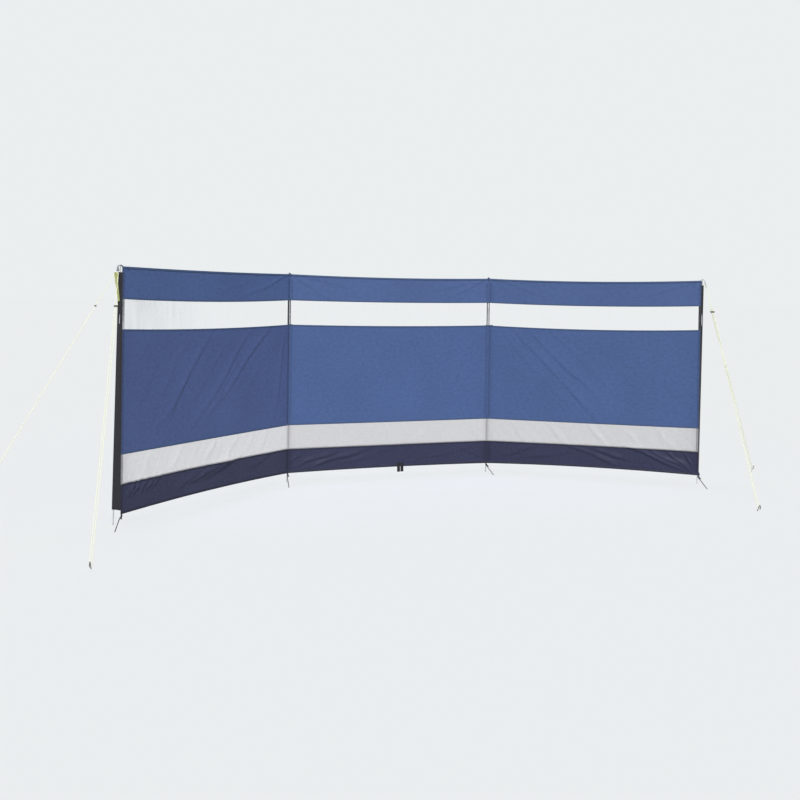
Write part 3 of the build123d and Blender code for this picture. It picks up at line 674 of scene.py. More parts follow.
def layTube(bm, uv, path, radius, sides, closed=False):
    if closed:
        path = path + [path[0]]
    last = len(path) - 1
    lengths = [0.0]
    headings = []
    for row in range(last + 1):
        before = path[row - 1] if row else (path[last - 1] if closed else path[0])
        after = path[row + 1] if row < last else (path[1] if closed else path[last])
        headings.append((after - before).normalized())
        if row:
            lengths.append(lengths[-1] + (path[row] - path[row - 1]).length)
    across = headings[0].orthogonal().normalized()
    frames = []
    for heading in headings:  # carries the first cross direction along without twisting
        across = (across - heading * across.dot(heading)).normalized()
        frames.append((across, heading.cross(across)))

    def placeAt(column, row):
        angle = 2 * math.pi * column / sides
        first, second = frames[row]
        return path[row] + (first * math.cos(angle) + second * math.sin(angle)) * radius

    girth = 2 * math.pi * radius
    grid, spots = layGrid(bm, sides, last, placeAt, uv,
                          lambda column, row: (girth * column / sides, lengths[row]))
    if not closed:
        for row in (0, last):
            rim = sorted((v for v in grid if spots[v][1] == row), key=lambda v: spots[v][0])
            bm.faces.new(rim[:-1] if row else rim[-2::-1])
    bmesh.ops.remove_doubles(bm, verts=grid, dist=1e-6)


def arcPath(centre, first, second, radius, start, end, steps):  # arc in the plane of two directions
    angles = [math.radians(start + (end - start) * step / steps) for step in range(steps + 1)]
    return [centre + (first * math.cos(a) + second * math.sin(a)) * radius for a in angles]


def cutAtGround(bm):
    bmesh.ops.bisect_plane(bm, geom=bm.verts[:] + bm.edges[:] + bm.faces[:], plane_co=(0, 0, 0),
                           plane_no=(0, 0, 1), clear_inner=True)


sewing = {"long": (0.5, 6.4), "close": (0.4, 3.2), "tie": (0.5, 3.6)}  # thread half width, pitch


def sewnRow(bm, start, end, out, thread, pitch):  # straight row of stitches
    steps = max(1, round((end - start).length / (pitch * mm))) * 3
    spots = [start.lerp(end, step / steps) for step in range(steps + 1)]
    across = (end - start).cross(out).normalized()
    stitchRow(bm, spots, across, out, thread * mm)


def boxStitch(bm, corner, along, over, length, width, out, thread, pitch):  # box and cross
    a, b = corner, corner + along * length
    c, d = b + over * width, a + over * width
    for start, end in ((a, b), (b, c), (c, d), (d, a), (a, c), (b, d)):
        sewnRow(bm, start, end, out, thread, pitch)


# Pole feet and tips, and the frame of each run end: out along the last bay, back behind the cloth

footOf = {mount["name"].replace("_foot", ""): Vector(mount["pos_m"]) for mount in frame["record"]["mounts"]}
tipOf = {name: sum(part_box(name + "_pole_tip"), Vector()) / 2 for name in footOf}
topHem = bays["middle"].levels[-1]
hemLevel = bays["middle"].levels[0]


class RunEnd:
    def __init__(self, name, bay, corner, out):
        self.name = name
        self.corner = corner
        self.out = out
        self.back = -bay.front
        self.side = 1 if name == "left" else -1

    def spot(self, out, back, level):  # mm out and back, level in metres
        return self.corner + self.out * out * mm + self.back * back * mm + up * level

    def poleAt(self, level):  # mm out and back of the leaning pole's axis
        foot, tip = footOf[self.name + "_end"], tipOf[self.name + "_end"]
        axis = foot.lerp(tip, level / tip.z) - self.corner
        return axis.dot(self.out) / mm, axis.dot(self.back) / mm


leftBay, middleBay, rightBay = bays["left"], bays["middle"], bays["right"]
runEnds = [RunEnd("left", leftBay, leftBay.start, -leftBay.along),
           RunEnd("right", rightBay, rightBay.end, rightBay.along)]

# End sleeves: black cloth from the cloth edge round the leaning pole

endSleeve = {"foot": 100, "head": 1539, "poleRadius": 10.5, "noseOut": 2.5, "noseBack": 2.5,
             "noseRadius": 1.5, "lap": 16, "lapUnder": 3, "lapBack": 1.0, "thickness": 0.9, "step": 17,
             "column": 4, "slack": 2.6, "wrinkle": 1.5, "creaseRise": 90, "tightHead": 250, "binding": 12,
             "bindingOut": -1.5, "bindingLap": 8, "bindingDrop": 3, "flatWidth": 135,
             "sewnOut": (-4, -12), "sewnFaces": ((1.6, 1), (-0.5, -1))}  # how far back, and facing which way


def sleeveRing(end, level):  # points round the sleeve at one level, with the share of slack at each
    poleOut, poleBack = end.poleAt(level)
    runOut, runBack = poleOut - endSleeve["noseOut"], poleBack - endSleeve["noseBack"]
    bearing = math.atan2(runBack, runOut)
    big, small = endSleeve["poleRadius"], endSleeve["noseRadius"]
    spread = math.acos((small - big) / math.hypot(runOut, runBack))
    ring = []

    def addArc(out, back, radius, start, finish, steps):
        for step in range(steps):
            angle = start + (finish - start) * step / steps
            ring.append((out + radius * math.cos(angle), back + radius * math.sin(angle), 0.0, angle))

    def addSide(angle, first, second, steps):  # straight stretch, slack between its ends
        for step in range(steps):
            share = step / steps
            radius = first[2] + (second[2] - first[2]) * share
            out = first[0] + (second[0] - first[0]) * share + radius * math.cos(angle)
            back = first[1] + (second[1] - first[1]) * share + radius * math.sin(angle)
            ring.append((out, back, math.sin(math.pi * share), angle))

    pole = (poleOut, poleBack, big)
    nose = (endSleeve["noseOut"], endSleeve["noseBack"], small)
    addArc(*pole, bearing - spread, bearing + spread, 14)
    addSide(bearing + spread, pole, nose, 7)
    addArc(*nose, bearing + spread, bearing - spread + 2 * math.pi, 5)
    addSide(bearing - spread, nose, pole, 7)
    return ring


def makeEndSleeve(end):
    bm, uv = newMesh("cloth")
    low, high = endSleeve["foot"] * mm, endSleeve["head"] * mm
    rows = round((high - low) / (endSleeve["step"] * mm))
    levels = [low + (high - low) * row / rows for row in range(rows + 1)]
    rings = [sleeveRing(end, level) for level in levels]
    around = len(rings[0])

    def placeAt(column, row):
        column %= around
        out, back, loose, angle = rings[row][column]
        rise = levels[row] / (endSleeve["creaseRise"] * mm)
        crease = noise.noise(Vector((rise + out * 0.05, column * 0.22, end.side * 3)))
        inward = loose * (endSleeve["slack"] + endSleeve["wrinkle"] * 2 * crease)
        inward *= smoothStep((high - levels[row]) / (endSleeve["tightHead"] * mm)) * 0.8 + 0.2
        return end.spot(out - inward * math.cos(angle), back - inward * math.sin(angle), levels[row])

    layGrid(bm, around, rows, placeAt, uv,
            lambda column, row: (column * endSleeve["column"] * mm, levels[row]))
    bmesh.ops.remove_doubles(bm, verts=bm.verts[:], dist=1e-6)
    under = endSleeve["lapUnder"]
    lap = [end.spot((under - endSleeve["lap"]) / 2, endSleeve["lapBack"], level) for level in levels]
    layStrip(bm, uv, lap, end.out, (endSleeve["lap"] + under) * mm, 2)
    start, stop = high - endSleeve["bindingLap"] * mm, topHem - endSleeve["bindingDrop"] * mm
    binding = [end.spot(endSleeve["bindingOut"], endSleeve["lapBack"], start + (stop - start) * step / 6)
               for step in range(7)]
    layStrip(bm, uv, binding, end.out, endSleeve["binding"] * mm, 4)
    piece = makePiece(end.name + "_end_sleeving", bm, finishes["black"],
                      [end.name + "_end_sleeve"], endSleeve["thickness"], outward=True)
    sewn = bmesh.new()
    for out in endSleeve["sewnOut"]:
        for back, face in endSleeve["sewnFaces"]:
            sewnRow(sewn, end.spot(out, back, low), end.spot(out, back, high), end.back * face,
                    *sewing["long"])
    makePiece(end.name + "_sleeve_stitching", sewn, finishes["darkThread"])


for end in runEnds:
    makeEndSleeve(end)
print("end sleeves made")

# Middle sleeves: black cloth round the back of each middle pole, with flanges behind the blue and the navy

midSleeve = {"foot": 100, "head": 1539, "radius": 10.6, "leg": 9.3, "flange": 14, "wideFlange": 30,
             "fallBack": 0.3, "thickness": 0.8, "step": 20, "column": 4, "wrinkle": 0.8, "creaseRise": 70,
             "flatWidth": 81, "sewnGap": 10, "sewnOut": (16, 22), "sewnFaces": ((10.3, -1), (8.4, 1))}


def makeMiddleSleeve(name, first, last):
    bm, uv = newMesh("cloth")
    foot = footOf[name]
    sides = ((-first.along, -first.front), (last.along, -last.front))
    radius, leg = midSleeve["radius"] * mm, midSleeve["leg"] * mm
    extra = (midSleeve["wideFlange"] - midSleeve["flange"]) * mm if name == "right_middle" else 0.0
    plan = []
    for (out, back), more in zip(sides, (0.0, extra)):
        inner = foot + out * radius - back * leg
        edge = inner + out * (midSleeve["flange"] * mm + more)
        edge += back * more * midSleeve["fallBack"]  # a wide flange falls back from the cloth
        plan.append([inner.lerp(edge, share) for share in (1, 0.66, 0.33, 0)]
                    + [inner.lerp(foot + out * radius, 0.5)])
    crown = (sides[0][1] + sides[1][1]).normalized()
    over = crown.cross(up)
    half = math.degrees(math.acos(max(-1, min(1, sides[0][0].dot(crown)))))
    arc = arcPath(foot, crown, -over if sides[0][0].dot(over) < 0 else over, radius, half, -half, 14)
    outline = plan[0] + arc + plan[1][::-1]
    low, high = midSleeve["foot"] * mm, midSleeve["head"] * mm
    rows = round((high - low) / (midSleeve["step"] * mm))
    columns = len(outline) - 1
    levels = [low + (high - low) * row / rows for row in range(rows + 1)]

    def placeAt(column, row):
        place = outline[column]
        away = (place - foot).normalized()
        loose = 1.0 if 5 < column < columns - 5 else 0.0
        rise = levels[row] / (midSleeve["creaseRise"] * mm)
        crease = noise.noise(Vector((rise, column * 0.3, len(name))))
        return place + up * levels[row] + away * loose * (0.4 + crease) * midSleeve["wrinkle"] * mm

    _, spots = layGrid(bm, columns, rows, placeAt, uv,
                       lambda column, row: (column * midSleeve["column"] * mm, levels[row]))
    openings = (middleBay.levels[1:3], middleBay.levels[3:5])  # no flange on the grey band or the window
    cut = [f for f in bm.faces if any(a < f.calc_center_median().z < b for a, b in openings)
           and all(not 3 < spots[v][0] < columns - 3 for v in f.verts)]
    bmesh.ops.delete(bm, geom=cut, context="FACES")
    piece = makePiece(name + "_sleeving", bm, finishes["black"], [name + "_sleeve"],
                      midSleeve["thickness"])
    sewn = bmesh.new()
    gap = midSleeve["sewnGap"] * mm
    starts = [low] + [b + gap for a, b in openings]
    stops = [a - gap for a, b in openings] + [high]
    for out, back in sides:
        for start, stop in zip(starts, stops):
            for reach in midSleeve["sewnOut"]:
                for stand, face in midSleeve["sewnFaces"]:
                    rowAt = foot + out * reach * mm - back * stand * mm
                    sewnRow(sewn, rowAt + up * start, rowAt + up * stop, back * face, *sewing["long"])
    makePiece(name + "_sleeve_stitching", sewn, finishes["darkThread"])


makeMiddleSleeve("left_middle", leftBay, middleBay)
makeMiddleSleeve("right_middle", middleBay, rightBay)
print("middle sleeves made")

# Eyelet tabs that turn back over the middle pole tips

topTab = {"width": 21, "thickness": 1.5, "reach": 24, "drop": 24, "proud": 4.2, "bend": 3.0, "behind": 1.4,
          "eyeletOuter": 7.0, "flatLength": 55}
eyelet = {"inner": 3.7, "clear": 1.6, "roll": 1.1}
tapeEdge = 0.3  # rounding of all webbing edges


def cutHole(bm, pin):
    size = (eyelet["inner"] + eyelet["clear"]) * mm
    hole = [f for f in bm.faces if (f.calc_center_median() - pin).length < size]
    bmesh.ops.delete(bm, geom=hole, context="FACES")


def makeEyelet(name, centre, axis, outer):  # rolled metal ring, made by spinning its section
    bm = bmesh.new()
    across = axis.orthogonal().normalized()
    start = centre + across * (eyelet["inner"] + outer) / 2 * mm
    wide, deep = across * (outer - eyelet["inner"]) / 2, axis * eyelet["roll"]
    rim = [bm.verts.new(p) for p in arcPath(start, wide, deep, mm, 0, 360, 10)[:-1]]
    edges = [bm.edges.new((a, b)) for a, b in zip(rim, rim[1:] + rim[:1])]
    bmesh.ops.spin(bm, geom=rim + edges, cent=centre, axis=axis, angle=2 * math.pi, steps=28, use_merge=True)
    makePiece(name, bm, finishes["ring"], outward=True)


def makeTopTab(name, first, last):
    bm, uv = newMesh("cloth")
    back = -(first.front + last.front).normalized()
    lip = last.start + back * topTab["behind"] * mm
    bend = topTab["bend"] * mm
    shelf = topHem + topTab["proud"] * mm
    foot, head = topHem - topTab["drop"] * mm, shelf - bend
    path = [lip + up * (foot + (head - foot) * step / 8) for step in range(8)]
    path += arcPath(lip + back * bend + up * head, -back, up, bend, 0, 90, 5)
    run = topTab["reach"] * mm - bend
    path += [lip + back * (bend + run * step / 14) + up * shelf for step in range(1, 15)]
    layStrip(bm, uv, path, back.cross(up), topTab["width"] * mm, 14)
    pin = Vector((tipOf[name].x, tipOf[name].y, shelf))
    cutHole(bm, pin)
    piece = makePiece(name + "_eyelet_tab", bm, finishes["blackTape"], [name + "_top_tab"],
                      topTab["thickness"], tapeEdge)
    makeEyelet(name + "_eyelet", pin, up, topTab["eyeletOuter"])


makeTopTab("left_middle", leftBay, middleBay)
makeTopTab("right_middle", middleBay, rightBay)
print("eyelet tabs made")

# Corner straps: grey webbing from the cloth corner over the tip pin to the D-ring

strap = {"width": 15, "thickness": 1.8, "centreOut": 9, "archRadius": 21, "crown": 1583, "leg": 14,
         "wrap": 3.2, "back": 13, "return": 17, "flatLength": 165, "eyeletOuter": 6.2, "patchLength": 56,
         "patchFoot": 1548, "patchHead": 1560, "patchBack": 1.5, "boxes": (-54, -27), "boxLength": 24,
         "boxMargin": 2.2, "bars": (6, 9), "barMargin": 1.5, "threadStand": 0.1}


def makeCornerStrap(end):
    bm, uv = newMesh("cloth")
    back, wrap = strap["back"], strap["wrap"]
    arch = (strap["crown"] - strap["archRadius"]) * mm
    eye = arch - strap["leg"] * mm
    inner, outer = strap["centreOut"] - strap["archRadius"], strap["centreOut"] + strap["archRadius"]
    path = [end.spot(inner, back, eye + (arch - eye) * step / 4) for step in range(4)]
    path += arcPath(end.spot(strap["centreOut"], back, arch), -end.out, up, strap["archRadius"] * mm,
                    0, 180, 28)
    path += [end.spot(outer, back, arch + (eye - arch) * step / 4) for step in range(1, 4)]
    path += arcPath(end.spot(outer - wrap * 0.3, back, eye), end.out, -up, wrap * mm, 0, 180, 10)
    path += [end.spot(outer - wrap * (1.3 - 0.35 * step / 5), back, eye + strap["return"] * mm * step / 5)
             for step in range(1, 6)]
    sewnTo = back - strap["width"] / 2 - strap["patchBack"]  # the lower end lies on the patch
    path = [p - end.back * sewnTo * mm * smoothStep(1 - i / 14) for i, p in enumerate(path)]
    layStrip(bm, uv, path, end.back, strap["width"] * mm, 12)
    tip, foot = tipOf[end.name + "_end"], footOf[end.name + "_end"]
    pin = foot + (tip - foot) * ((strap["crown"] * mm) / tip.z)
    cutHole(bm, pin)
    middle = (strap["patchFoot"] + strap["patchHead"]) / 2 * mm
    height = strap["patchHead"] - strap["patchFoot"]
    patch = [end.spot(-strap["patchLength"] * (1 - step / 10), strap["patchBack"], middle)
             for step in range(11)]
    layStrip(bm, uv, patch, up, height * mm, 4)
    piece = makePiece(end.name + "_corner_webbing", bm, finishes["greyTape"],
                      [end.name + "_corner_strap"], strap["thickness"], tapeEdge)
    makeEyelet(end.name + "_corner_eyelet", pin, (tip - foot).normalized(), strap["eyeletOuter"])
    sewn = bmesh.new()
    proud, margin = strap["thickness"] / 2 + strap["threadStand"], strap["boxMargin"]
    for out in strap["boxes"]:
        corner = end.spot(out, strap["patchBack"] + proud, (strap["patchFoot"] + margin) * mm)
        boxStitch(sewn, corner, end.out, up, strap["boxLength"] * mm, (height - 2 * margin) * mm, end.back,
                  *sewing["close"])
    half = strap["width"] / 2 - strap["barMargin"]
    for rise in strap["bars"]:
        ends = [end.spot(outer + proud, back + side * half, eye + rise * mm) for side in (-1, 1)]
        sewnRow(sewn, *ends, end.out, *sewing["close"])
    makePiece(end.name + "_corner_stitching", sewn, finishes["darkThread"])


# D-rings and guy lines

guy = {"wire": 1.75, "bow": 15.5, "corner": 4.0, "tilt": 25, "grip": 40, "cord": 1.6, "eye": 4.7,
       "eyeSlack": 0.9, "knotStand": 6.4, "reach": 900, "wrapHeight": 24, "loop": 5.8, "runner": 225,
       "runnerThickness": 6, "stopper": 4.0, "turns": 3, "pitch": 2.9, "knotRadius": 2.7, "knotPacked": 0.92,
       "spread": {"left": {-1: 38, 1: 38}, "right": {-1: 67, 1: 58}},
       "tail": ((4, 0, 0), (12, 1, 0), (20, 4, 2))}  # along, aside and down from the last knot
bights = {  # spare cord looped through a ring: drop, half width, out, aside, swing and lean of each
    "left": ((44, 4.6, 1.5, 5.5, 0.03, 0.0), (60, 4.0, 4.9, 4.0, 0.0, 0.08),
             (165, 2.6, 8.3, 2.5, -0.03, 0.16)),
    "right": (),
}


def ringFrame(end):
    eye = (strap["crown"] - strap["archRadius"] - strap["leg"]) * mm
    centre = end.spot(strap["centreOut"] + strap["archRadius"], strap["back"], eye)
    tilt = math.radians(guy["tilt"])
    return centre, end.out * math.sin(tilt) - up * math.cos(tilt)


def makeGuyRing(end):
    bm, uv = newMesh("cord")
    centre, fall = ringFrame(end)
    bow, corner = guy["bow"] * mm, guy["corner"] * mm
    flat = bow - corner
    path = [centre + end.back * flat * share for share in (-1, -0.5, 0, 0.5)]
    path += arcPath(centre + end.back * flat + fall * corner, -fall, end.back, corner, 0, 90, 6)
    path += arcPath(centre + fall * corner, end.back, fall, bow, 0, 180, 30)[1:-1]
    path += arcPath(centre - end.back * flat + fall * corner, -end.back, -fall, corner, 0, 90, 6)[:-1]
    layTube(bm, uv, path, guy["wire"] * mm, 12, closed=True)
    makePiece(end.name + "_wire_ring", bm, finishes["ring"], [end.name + "_guy_ring"],
              outward=True)


def guyRoute(end, hand):  # where one guy is held, which way it runs and where its loop goes round the peg
    centre, fall = ringFrame(end)
    grip = math.radians(guy["grip"])
    held = centre + end.back * hand * guy["bow"] * mm * math.sin(grip)
    held = held + fall * (guy["corner"] + guy["bow"] * math.cos(grip)) * mm
    tangent = end.back * math.cos(grip) - fall * hand * math.sin(grip)
    spread = math.radians(-end.side * hand * guy["spread"][end.name][hand])
    pegAt = end.corner + (Matrix.Rotation(spread, 3, "Z") @ end.out) * guy["reach"] * mm
    pegAt.z = guy["wrapHeight"] * mm
    pull = pegAt - held
    pull = (pull - tangent * pull.dot(tangent)).normalized()
    eyeAt = held + pull * guy["eyeSlack"] * mm
    knotAt = eyeAt + pull * guy["knotStand"] * mm
    along = (pegAt - knotAt).normalized()
    for _ in range(4):
        lateral = along.cross(up).normalized()
        along = (pegAt + lateral * guy["loop"] * mm - knotAt).normalized()
    return eyeAt, tangent, pull, knotAt, pegAt, lateral, along


def addKnot(bm, uv, centre, axis, flip=1):  # cord wound three times round itself
    across = axis.orthogonal().normalized()
    over = axis.cross(across) * flip
    steps = guy["turns"] * 12
    length = guy["turns"] * guy["pitch"] * mm
    path = []
    for step in range(steps + 1):
        angle = 2 * math.pi * step / 12
        place = centre + axis * (length * (step / steps - 0.5))
        path.append(place + (across * math.cos(angle) + over * math.sin(angle)) * guy["knotRadius"] * mm)
    layTube(bm, uv, path, guy["cord"] * guy["knotPacked"] * mm, 8)


def makeGuy(end, hand, name):
    bm, uv = newMesh("cord")
    eyeAt, tangent, pull, knotAt, pegAt, lateral, along = guyRoute(end, hand)
    cord, loop = guy["cord"] * mm, guy["loop"] * mm
    turn = pegAt + lateral * loop
    eye = arcPath(eyeAt, pull, tangent.cross(pull), guy["eye"] * mm, 0, 360, 24)[:-1]
    layTube(bm, uv, eye, cord, 8, closed=True)
    addKnot(bm, uv, knotAt, along)
    taut = set(bm.faces)
    for drop, half, out, aside, swing, lean in bights[end.name]:
        head = eyeAt + end.out * out * mm - end.back * hand * aside * mm
        foot = head + (end.back * hand * swing - end.out * lean - up) * drop * mm
        reach = end.back * half * mm
        bight = arcPath(head, end.back, up, half * mm, 0, 180, 10)
        bight += [(head - reach).lerp(foot - reach, share) for share in (0.3, 0.6, 0.85)]
        bight += arcPath(foot, -end.back, -up, half * mm, 0, 180, 10)
        bight += [(foot + reach).lerp(head + reach, share) for share in (0.15, 0.4, 0.7)]
        layTube(bm, uv, bight, cord, 8, closed=True)
    # The spare loops take the darker lime, painted shade among the packed loops
    for face in set(bm.faces) - taut:
        face.material_index = 1
    stop = (turn - knotAt).length - (guy["runner"] - guy["runnerThickness"] - guy["stopper"]) * mm
    path = [knotAt.lerp(turn, step / 60) for step in range(60)]
    path += arcPath(pegAt, lateral, along, loop, 0, 180, 16)
    path += [pegAt - lateral * loop - along * stop * step / 50 for step in range(1, 51)]
    layTube(bm, uv, path, cord, 8)
    addKnot(bm, uv, path[-1], along, -1)
    tail = [path[-1] + (lateral * aside - along * run - up * down) * mm for run, aside, down in guy["tail"]]
    layTube(bm, uv, tail, cord, 8)
    piece = makePiece(end.name + "_" + name + "_cord", bm, finishes["lime"],
                      [end.name + "_" + name], outward=True)
    if bights[end.name]:
        piece.data.materials.append(finishes["bundledLime"])


# Pegs: bent steel rod, cut off where it enters the ground

peg = {"radius": 3.0, "lean": 35, "rise": 20, "hook": 9, "tail": 14, "below": 30, "straight": 10}
rodEdge = 0.4  # rounding of all cut rod ends


def makeGuyPegs(end):
    bm, uv = newMesh("cord")
    for hand in (-1, 1):
        _, _, _, _, pegAt, _, along = guyRoute(end, hand)
        away = Vector((along.x, along.y, 0)).normalized()
        lean = math.radians(peg["lean"])
        rise = up * math.cos(lean) + away * math.sin(lean)
        turn = away * math.cos(lean) - up * math.sin(lean)
        hook = peg["hook"] * mm
        top = pegAt + rise * peg["rise"] * mm
        places = (-guy["wrapHeight"] - peg["below"], -peg["straight"], peg["straight"])
        path = [pegAt + rise * place * mm for place in places]
        path += arcPath(top + turn * hook, -turn, rise, hook, 0, 180, 18)
        tail = top + turn * 2 * hook
        path += [tail - rise * peg["tail"] * mm * share for share in (0.5, 1.0)]
        layTube(bm, uv, path, peg["radius"] * mm, 12)
    cutAtGround(bm)
    makePiece(end.name + "_rod_pegs", bm, finishes["peg"], [end.name + "_guy_pegs"], 0, rodEdge,
              outward=True)


for end in runEnds:
    makeCornerStrap(end)
    makeGuyRing(end)
    makeGuy(end, -1, "front_guy")
    makeGuy(end, 1, "back_guy")
    makeGuyPegs(end)
print("corner straps, rings, guys and guy pegs made")

# Hem tabs of black webbing, each with a hook peg through its loop

hemTab = {"width": 9, "length": 34, "depth": 9.6, "wall": 1.8, "thickness": 1.5, "drop": 7.5, "behind": 3,
          "lugBack": 1.35, "lug": (-9, -4, 2, 8, 14, 20), "inset": {"left": 10, "right": -4},
          "flatLength": 135, "boxBack": 2.2, "boxFoot": 4, "boxWidth": 7, "boxHeight": 13}
hemPeg = {"radius": 3.0, "hook": 6, "tail": 6, "slack": 1.8,
          "aims": {"left_end": (-108, 133), "left_middle": (-98, 165), "right_middle": (-81, 118),
                   "right_end": (-98, 144)}}  # bearing and reach of each peg from its tab


def hemFrame(name, place):
    bearing, reach = hemPeg["aims"][name]
    bearing = math.radians(bearing)
    aim = Vector((math.cos(bearing), math.sin(bearing), 0))
    start = place + up * (hemLevel - hemTab["drop"] * mm)
    slope = (place + aim * reach * mm - start).normalized()
    side = aim.cross(up)
    return start, slope, side, side.cross(slope)


hemPlaces = [
    ("left_end", runEnds[0].spot(-hemTab["inset"]["left"], 0, 0), runEnds[0].back),
    ("left_middle", middleBay.start, -(leftBay.front + middleBay.front).normalized()),
    ("right_middle", rightBay.start, -(middleBay.front + rightBay.front).normalized()),
    ("right_end", runEnds[1].spot(-hemTab["inset"]["right"], 0, 0), runEnds[1].back),
]


def makeHemTabs():
    bm, uv = newMesh("cloth")
    sewn = bmesh.new()
    radius = (hemTab["depth"] - hemTab["wall"]) / 2 * mm
    reach = (hemTab["length"] - hemTab["depth"]) * mm
    for name, place, back in hemPlaces:
        start, slope, side, lift = hemFrame(name, place)
        near = start + slope * (hemTab["depth"] / 2 - hemTab["behind"]) * mm
        far = near + slope * reach
        path = [near.lerp(far, step / 8) + lift * radius for step in range(8)]
        path += arcPath(far, lift, slope, radius, 0, 180, 12)
        path += [far.lerp(near, step / 8) - lift * radius for step in range(1, 8)]
        path += arcPath(near, -lift, -slope, radius, 0, 180, 12)
        loop = layStrip(bm, uv, path, side, hemTab["width"] * mm, 6)
        bmesh.ops.remove_doubles(bm, verts=loop, dist=1e-6)
        across = back.cross(up)
        lugFoot = place + back * hemTab["lugBack"] * mm + up * hemLevel
        lug = [lugFoot + up * level * mm for level in hemTab["lug"]]
        layStrip(bm, uv, lug, across, hemTab["width"] * mm, 6)
        box = place + back * hemTab["boxBack"] * mm - across * hemTab["boxWidth"] / 2 * mm
        boxStitch(sewn, box + up * (hemLevel + hemTab["boxFoot"] * mm), across, up, hemTab["boxWidth"] * mm,
                  hemTab["boxHeight"] * mm, back, *sewing["close"])
    piece = makePiece("hem_tab_webbing", bm, finishes["wornTape"], ["hem_tabs"],
                      hemTab["thickness"], tapeEdge, outward=True)
    thread = makePiece("hem_tab_stitching", sewn, finishes["thread"])


def makeHemPegs():
    bm, uv = newMesh("cord")
    for name, place, _ in hemPlaces:
        start, slope, side, _ = hemFrame(name, place)
        hook = hemPeg["hook"]
        inset = hook - math.sqrt(hook ** 2 - (hemTab["width"] / 2) ** 2)
        crown = hemTab["length"] - hemTab["behind"] - hemTab["wall"]
        crown -= hemPeg["radius"] + inset + hemPeg["slack"]
        centre = start + slope * (crown + hook) * mm
        foot = start + slope * (hemPeg["aims"][name][1] * mm + hemLevel)
        path = [foot + side * hook * mm, foot.lerp(centre, 0.5) + side * hook * mm]
        path += arcPath(centre, side, -slope, hook * mm, 0, 180, 18)
        path += [centre - side * hook * mm + slope * hemPeg["tail"] * mm * share for share in (0.5, 1.0)]
        layTube(bm, uv, path, hemPeg["radius"] * mm, 12)
    cutAtGround(bm)
    makePiece("hem_rod_pegs", bm, finishes["peg"], ["hem_pegs"], 0, rodEdge, outward=True)


makeHemTabs()
makeHemPegs()
print("hem tabs and pegs made")

# Roll-up tie: black webbing behind the middle of the skirt, its two tails hang below the hem

tie = {"width": 53, "gap": 4, "thickness": 1.5, "curl": 7, "curlFrom": 0.45, "curls": {-1: -0.9, 1: 1.6},
       "boxShare": 0.72, "boxBack": 1.0, "boxDrop": 21, "boxHeight": 17}


def makeRollTie():
    bm, uv = newMesh("cloth")
    low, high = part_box("roll_tie")
    middle = (low.x + high.x) / 2
    plane = (low.y + high.y) / 2
    foot, head = low.z, high.z
    right, back = Vector((1, 0, 0)), Vector((0, 1, 0))
    tape = (tie["width"] - tie["gap"]) / 2
    box = tape * tie["boxShare"] * mm
    sewn = bmesh.new()
    for hand in (-1, 1):
        centre = middle + hand * (tape + tie["gap"]) / 2 * mm
        path = []
        for step in range(19):
            share = step / 18
            sway = tie["curl"] * mm * max(0.0, share - tie["curlFrom"]) ** 2 * tie["curls"][hand]
            path.append(Vector((centre + hand * sway * 0.5, plane + sway, head + (foot - head) * share)))
        layStrip(bm, uv, path, right, tape * mm, 8)
        corner = Vector((centre - box / 2, plane + tie["boxBack"] * mm, head - tie["boxDrop"] * mm))
        boxStitch(sewn, corner, right, up, box, tie["boxHeight"] * mm, back, *sewing["tie"])
    piece = makePiece("roll_tie_webbing", bm, finishes["blackTape"], ["roll_tie"],
                      tie["thickness"], tapeEdge)
    thread = makePiece("roll_tie_stitching", sewn, finishes["thread"])


makeRollTie()
print("roll-up tie made")

# Materials of the CAD pieces that stay as they are

cadFinish = {"_pole": "tube", "end_pole_tip": "greyPlastic", "middle_pole_tip": "plastic",
             "_runners": "runner"}

for name, node in nodes.items():
    for ending, finish in cadFinish.items():
        if name.endswith(ending):
            node.data.materials.clear()
            node.data.materials.append(finishes[finish])

# Studio: floor, light and camera

studio = {"backdrop": "#eaeeef", "fill": 0.22, "floor": "#edeff0", "floorSize": 400.0, "floorDrop": 0.2}
lamps = {"keyLight": (4.2, -103, 40, 30), "backLight": (1.2, 110, 35, 70),
         "floorLight": (2.5, 0, 90, 60)}  # strength, bearing, height, spread


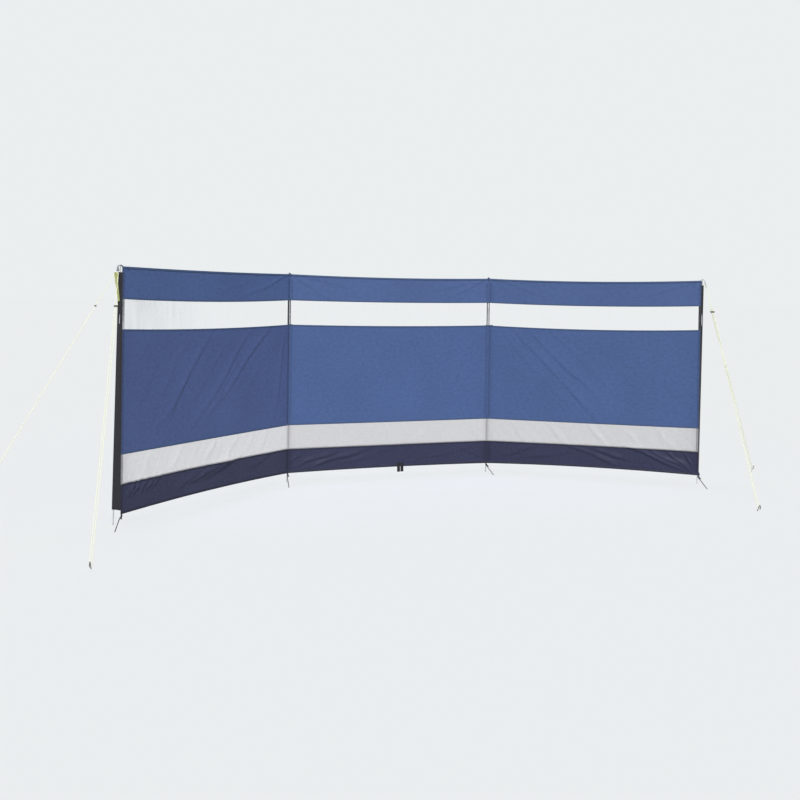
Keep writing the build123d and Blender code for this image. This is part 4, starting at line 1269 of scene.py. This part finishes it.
def makeStudio():
    world = bpy.data.worlds.new("Studio")
    bpy.context.scene.world = world
    world.use_nodes = True
    tree = world.node_tree
    tree.nodes.clear()
    colour = linear(studio["backdrop"])
    seen = addNode(tree, "ShaderNodeBackground", {"Color": colour, "Strength": 1.0})
    fill = addNode(tree, "ShaderNodeBackground", {"Color": colour, "Strength": studio["fill"]})
    path = addNode(tree, "ShaderNodeLightPath")
    both = addNode(tree, "ShaderNodeMixShader", None, {0: path.outputs["Is Camera Ray"], 1: fill, 2: seen})
    addNode(tree, "ShaderNodeOutputWorld", None, {"Surface": both})

    bm = bmesh.new()
    bmesh.ops.create_grid(bm, x_segments=1, y_segments=1, size=studio["floorSize"] / 2)
    mesh = bpy.data.meshes.new("floor")
    bm.to_mesh(mesh)
    bm.free()
    floor = bpy.data.objects.new("floor", mesh)
    floor.location.z = -studio["floorDrop"] * mm
    bpy.context.scene.collection.objects.link(floor)
    material, tree = newMaterial("mattStudioPaint")
    paint = addNode(tree, "ShaderNodeBsdfDiffuse", {"Color": linear(studio["floor"]), "Roughness": 0.0})
    addNode(tree, "ShaderNodeOutputMaterial", None, {"Surface": paint})
    mesh.materials.append(material)
    floor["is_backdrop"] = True

    lit = bpy.data.collections.new("litByKey")
    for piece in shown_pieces():
        lit.objects.link(piece)
    ground = bpy.data.collections.new("litByFloorLight")
    ground.objects.link(floor)
    for name, (strength, bearing, height, spread) in lamps.items():
        lamp = bpy.data.lights.new(name, "SUN")
        lamp.energy = strength
        lamp.angle = math.radians(spread)
        light = bpy.data.objects.new(name, lamp)
        a, e = math.radians(bearing), math.radians(height)
        towards = Vector((math.cos(a) * math.cos(e), math.sin(a) * math.cos(e), math.sin(e)))
        light.rotation_euler = towards.to_track_quat("Z", "Y").to_euler()
        light.light_linking.receiver_collection = ground if name == "floorLight" else lit
        lamp.use_shadow = name != "floorLight"
        bpy.context.scene.collection.objects.link(light)


view = {"place": (-1668, -6975, 1413.5), "bearing": 20.13, "pitch": 0.786, "roll": 0.85, "focal": 946.3,
        "frame": 800, "centreRow": 310.2}  # focal length and centre row in pixels of the square frame


def makeCamera():
    data = bpy.data.cameras.new("Camera")
    data.sensor_width = 36
    data.lens = view["focal"] / view["frame"] * data.sensor_width
    data.shift_y = (view["centreRow"] - view["frame"] / 2) / view["frame"]
    data.clip_end = 1000
    camera = bpy.data.objects.new("Camera", data)
    a, p, r = (math.radians(view[k]) for k in ("bearing", "pitch", "roll"))
    forward = Vector((math.sin(a) * math.cos(p), math.cos(a) * math.cos(p), -math.sin(p)))
    level = forward.cross(up).normalized()
    upright = level.cross(forward)
    right = level * math.cos(r) + upright * math.sin(r)
    top = upright * math.cos(r) - level * math.sin(r)
    camera.matrix_world = Matrix.Translation(Vector(view["place"]) * mm) @ Matrix(
        (right, top, -forward)).transposed().to_4x4()
    bpy.context.scene.collection.objects.link(camera)
    bpy.context.scene.camera = camera


makeStudio()
makeCamera()
settings = bpy.context.scene.view_settings
settings.view_transform = "Standard"
settings.look = "None"
print("studio and camera set")
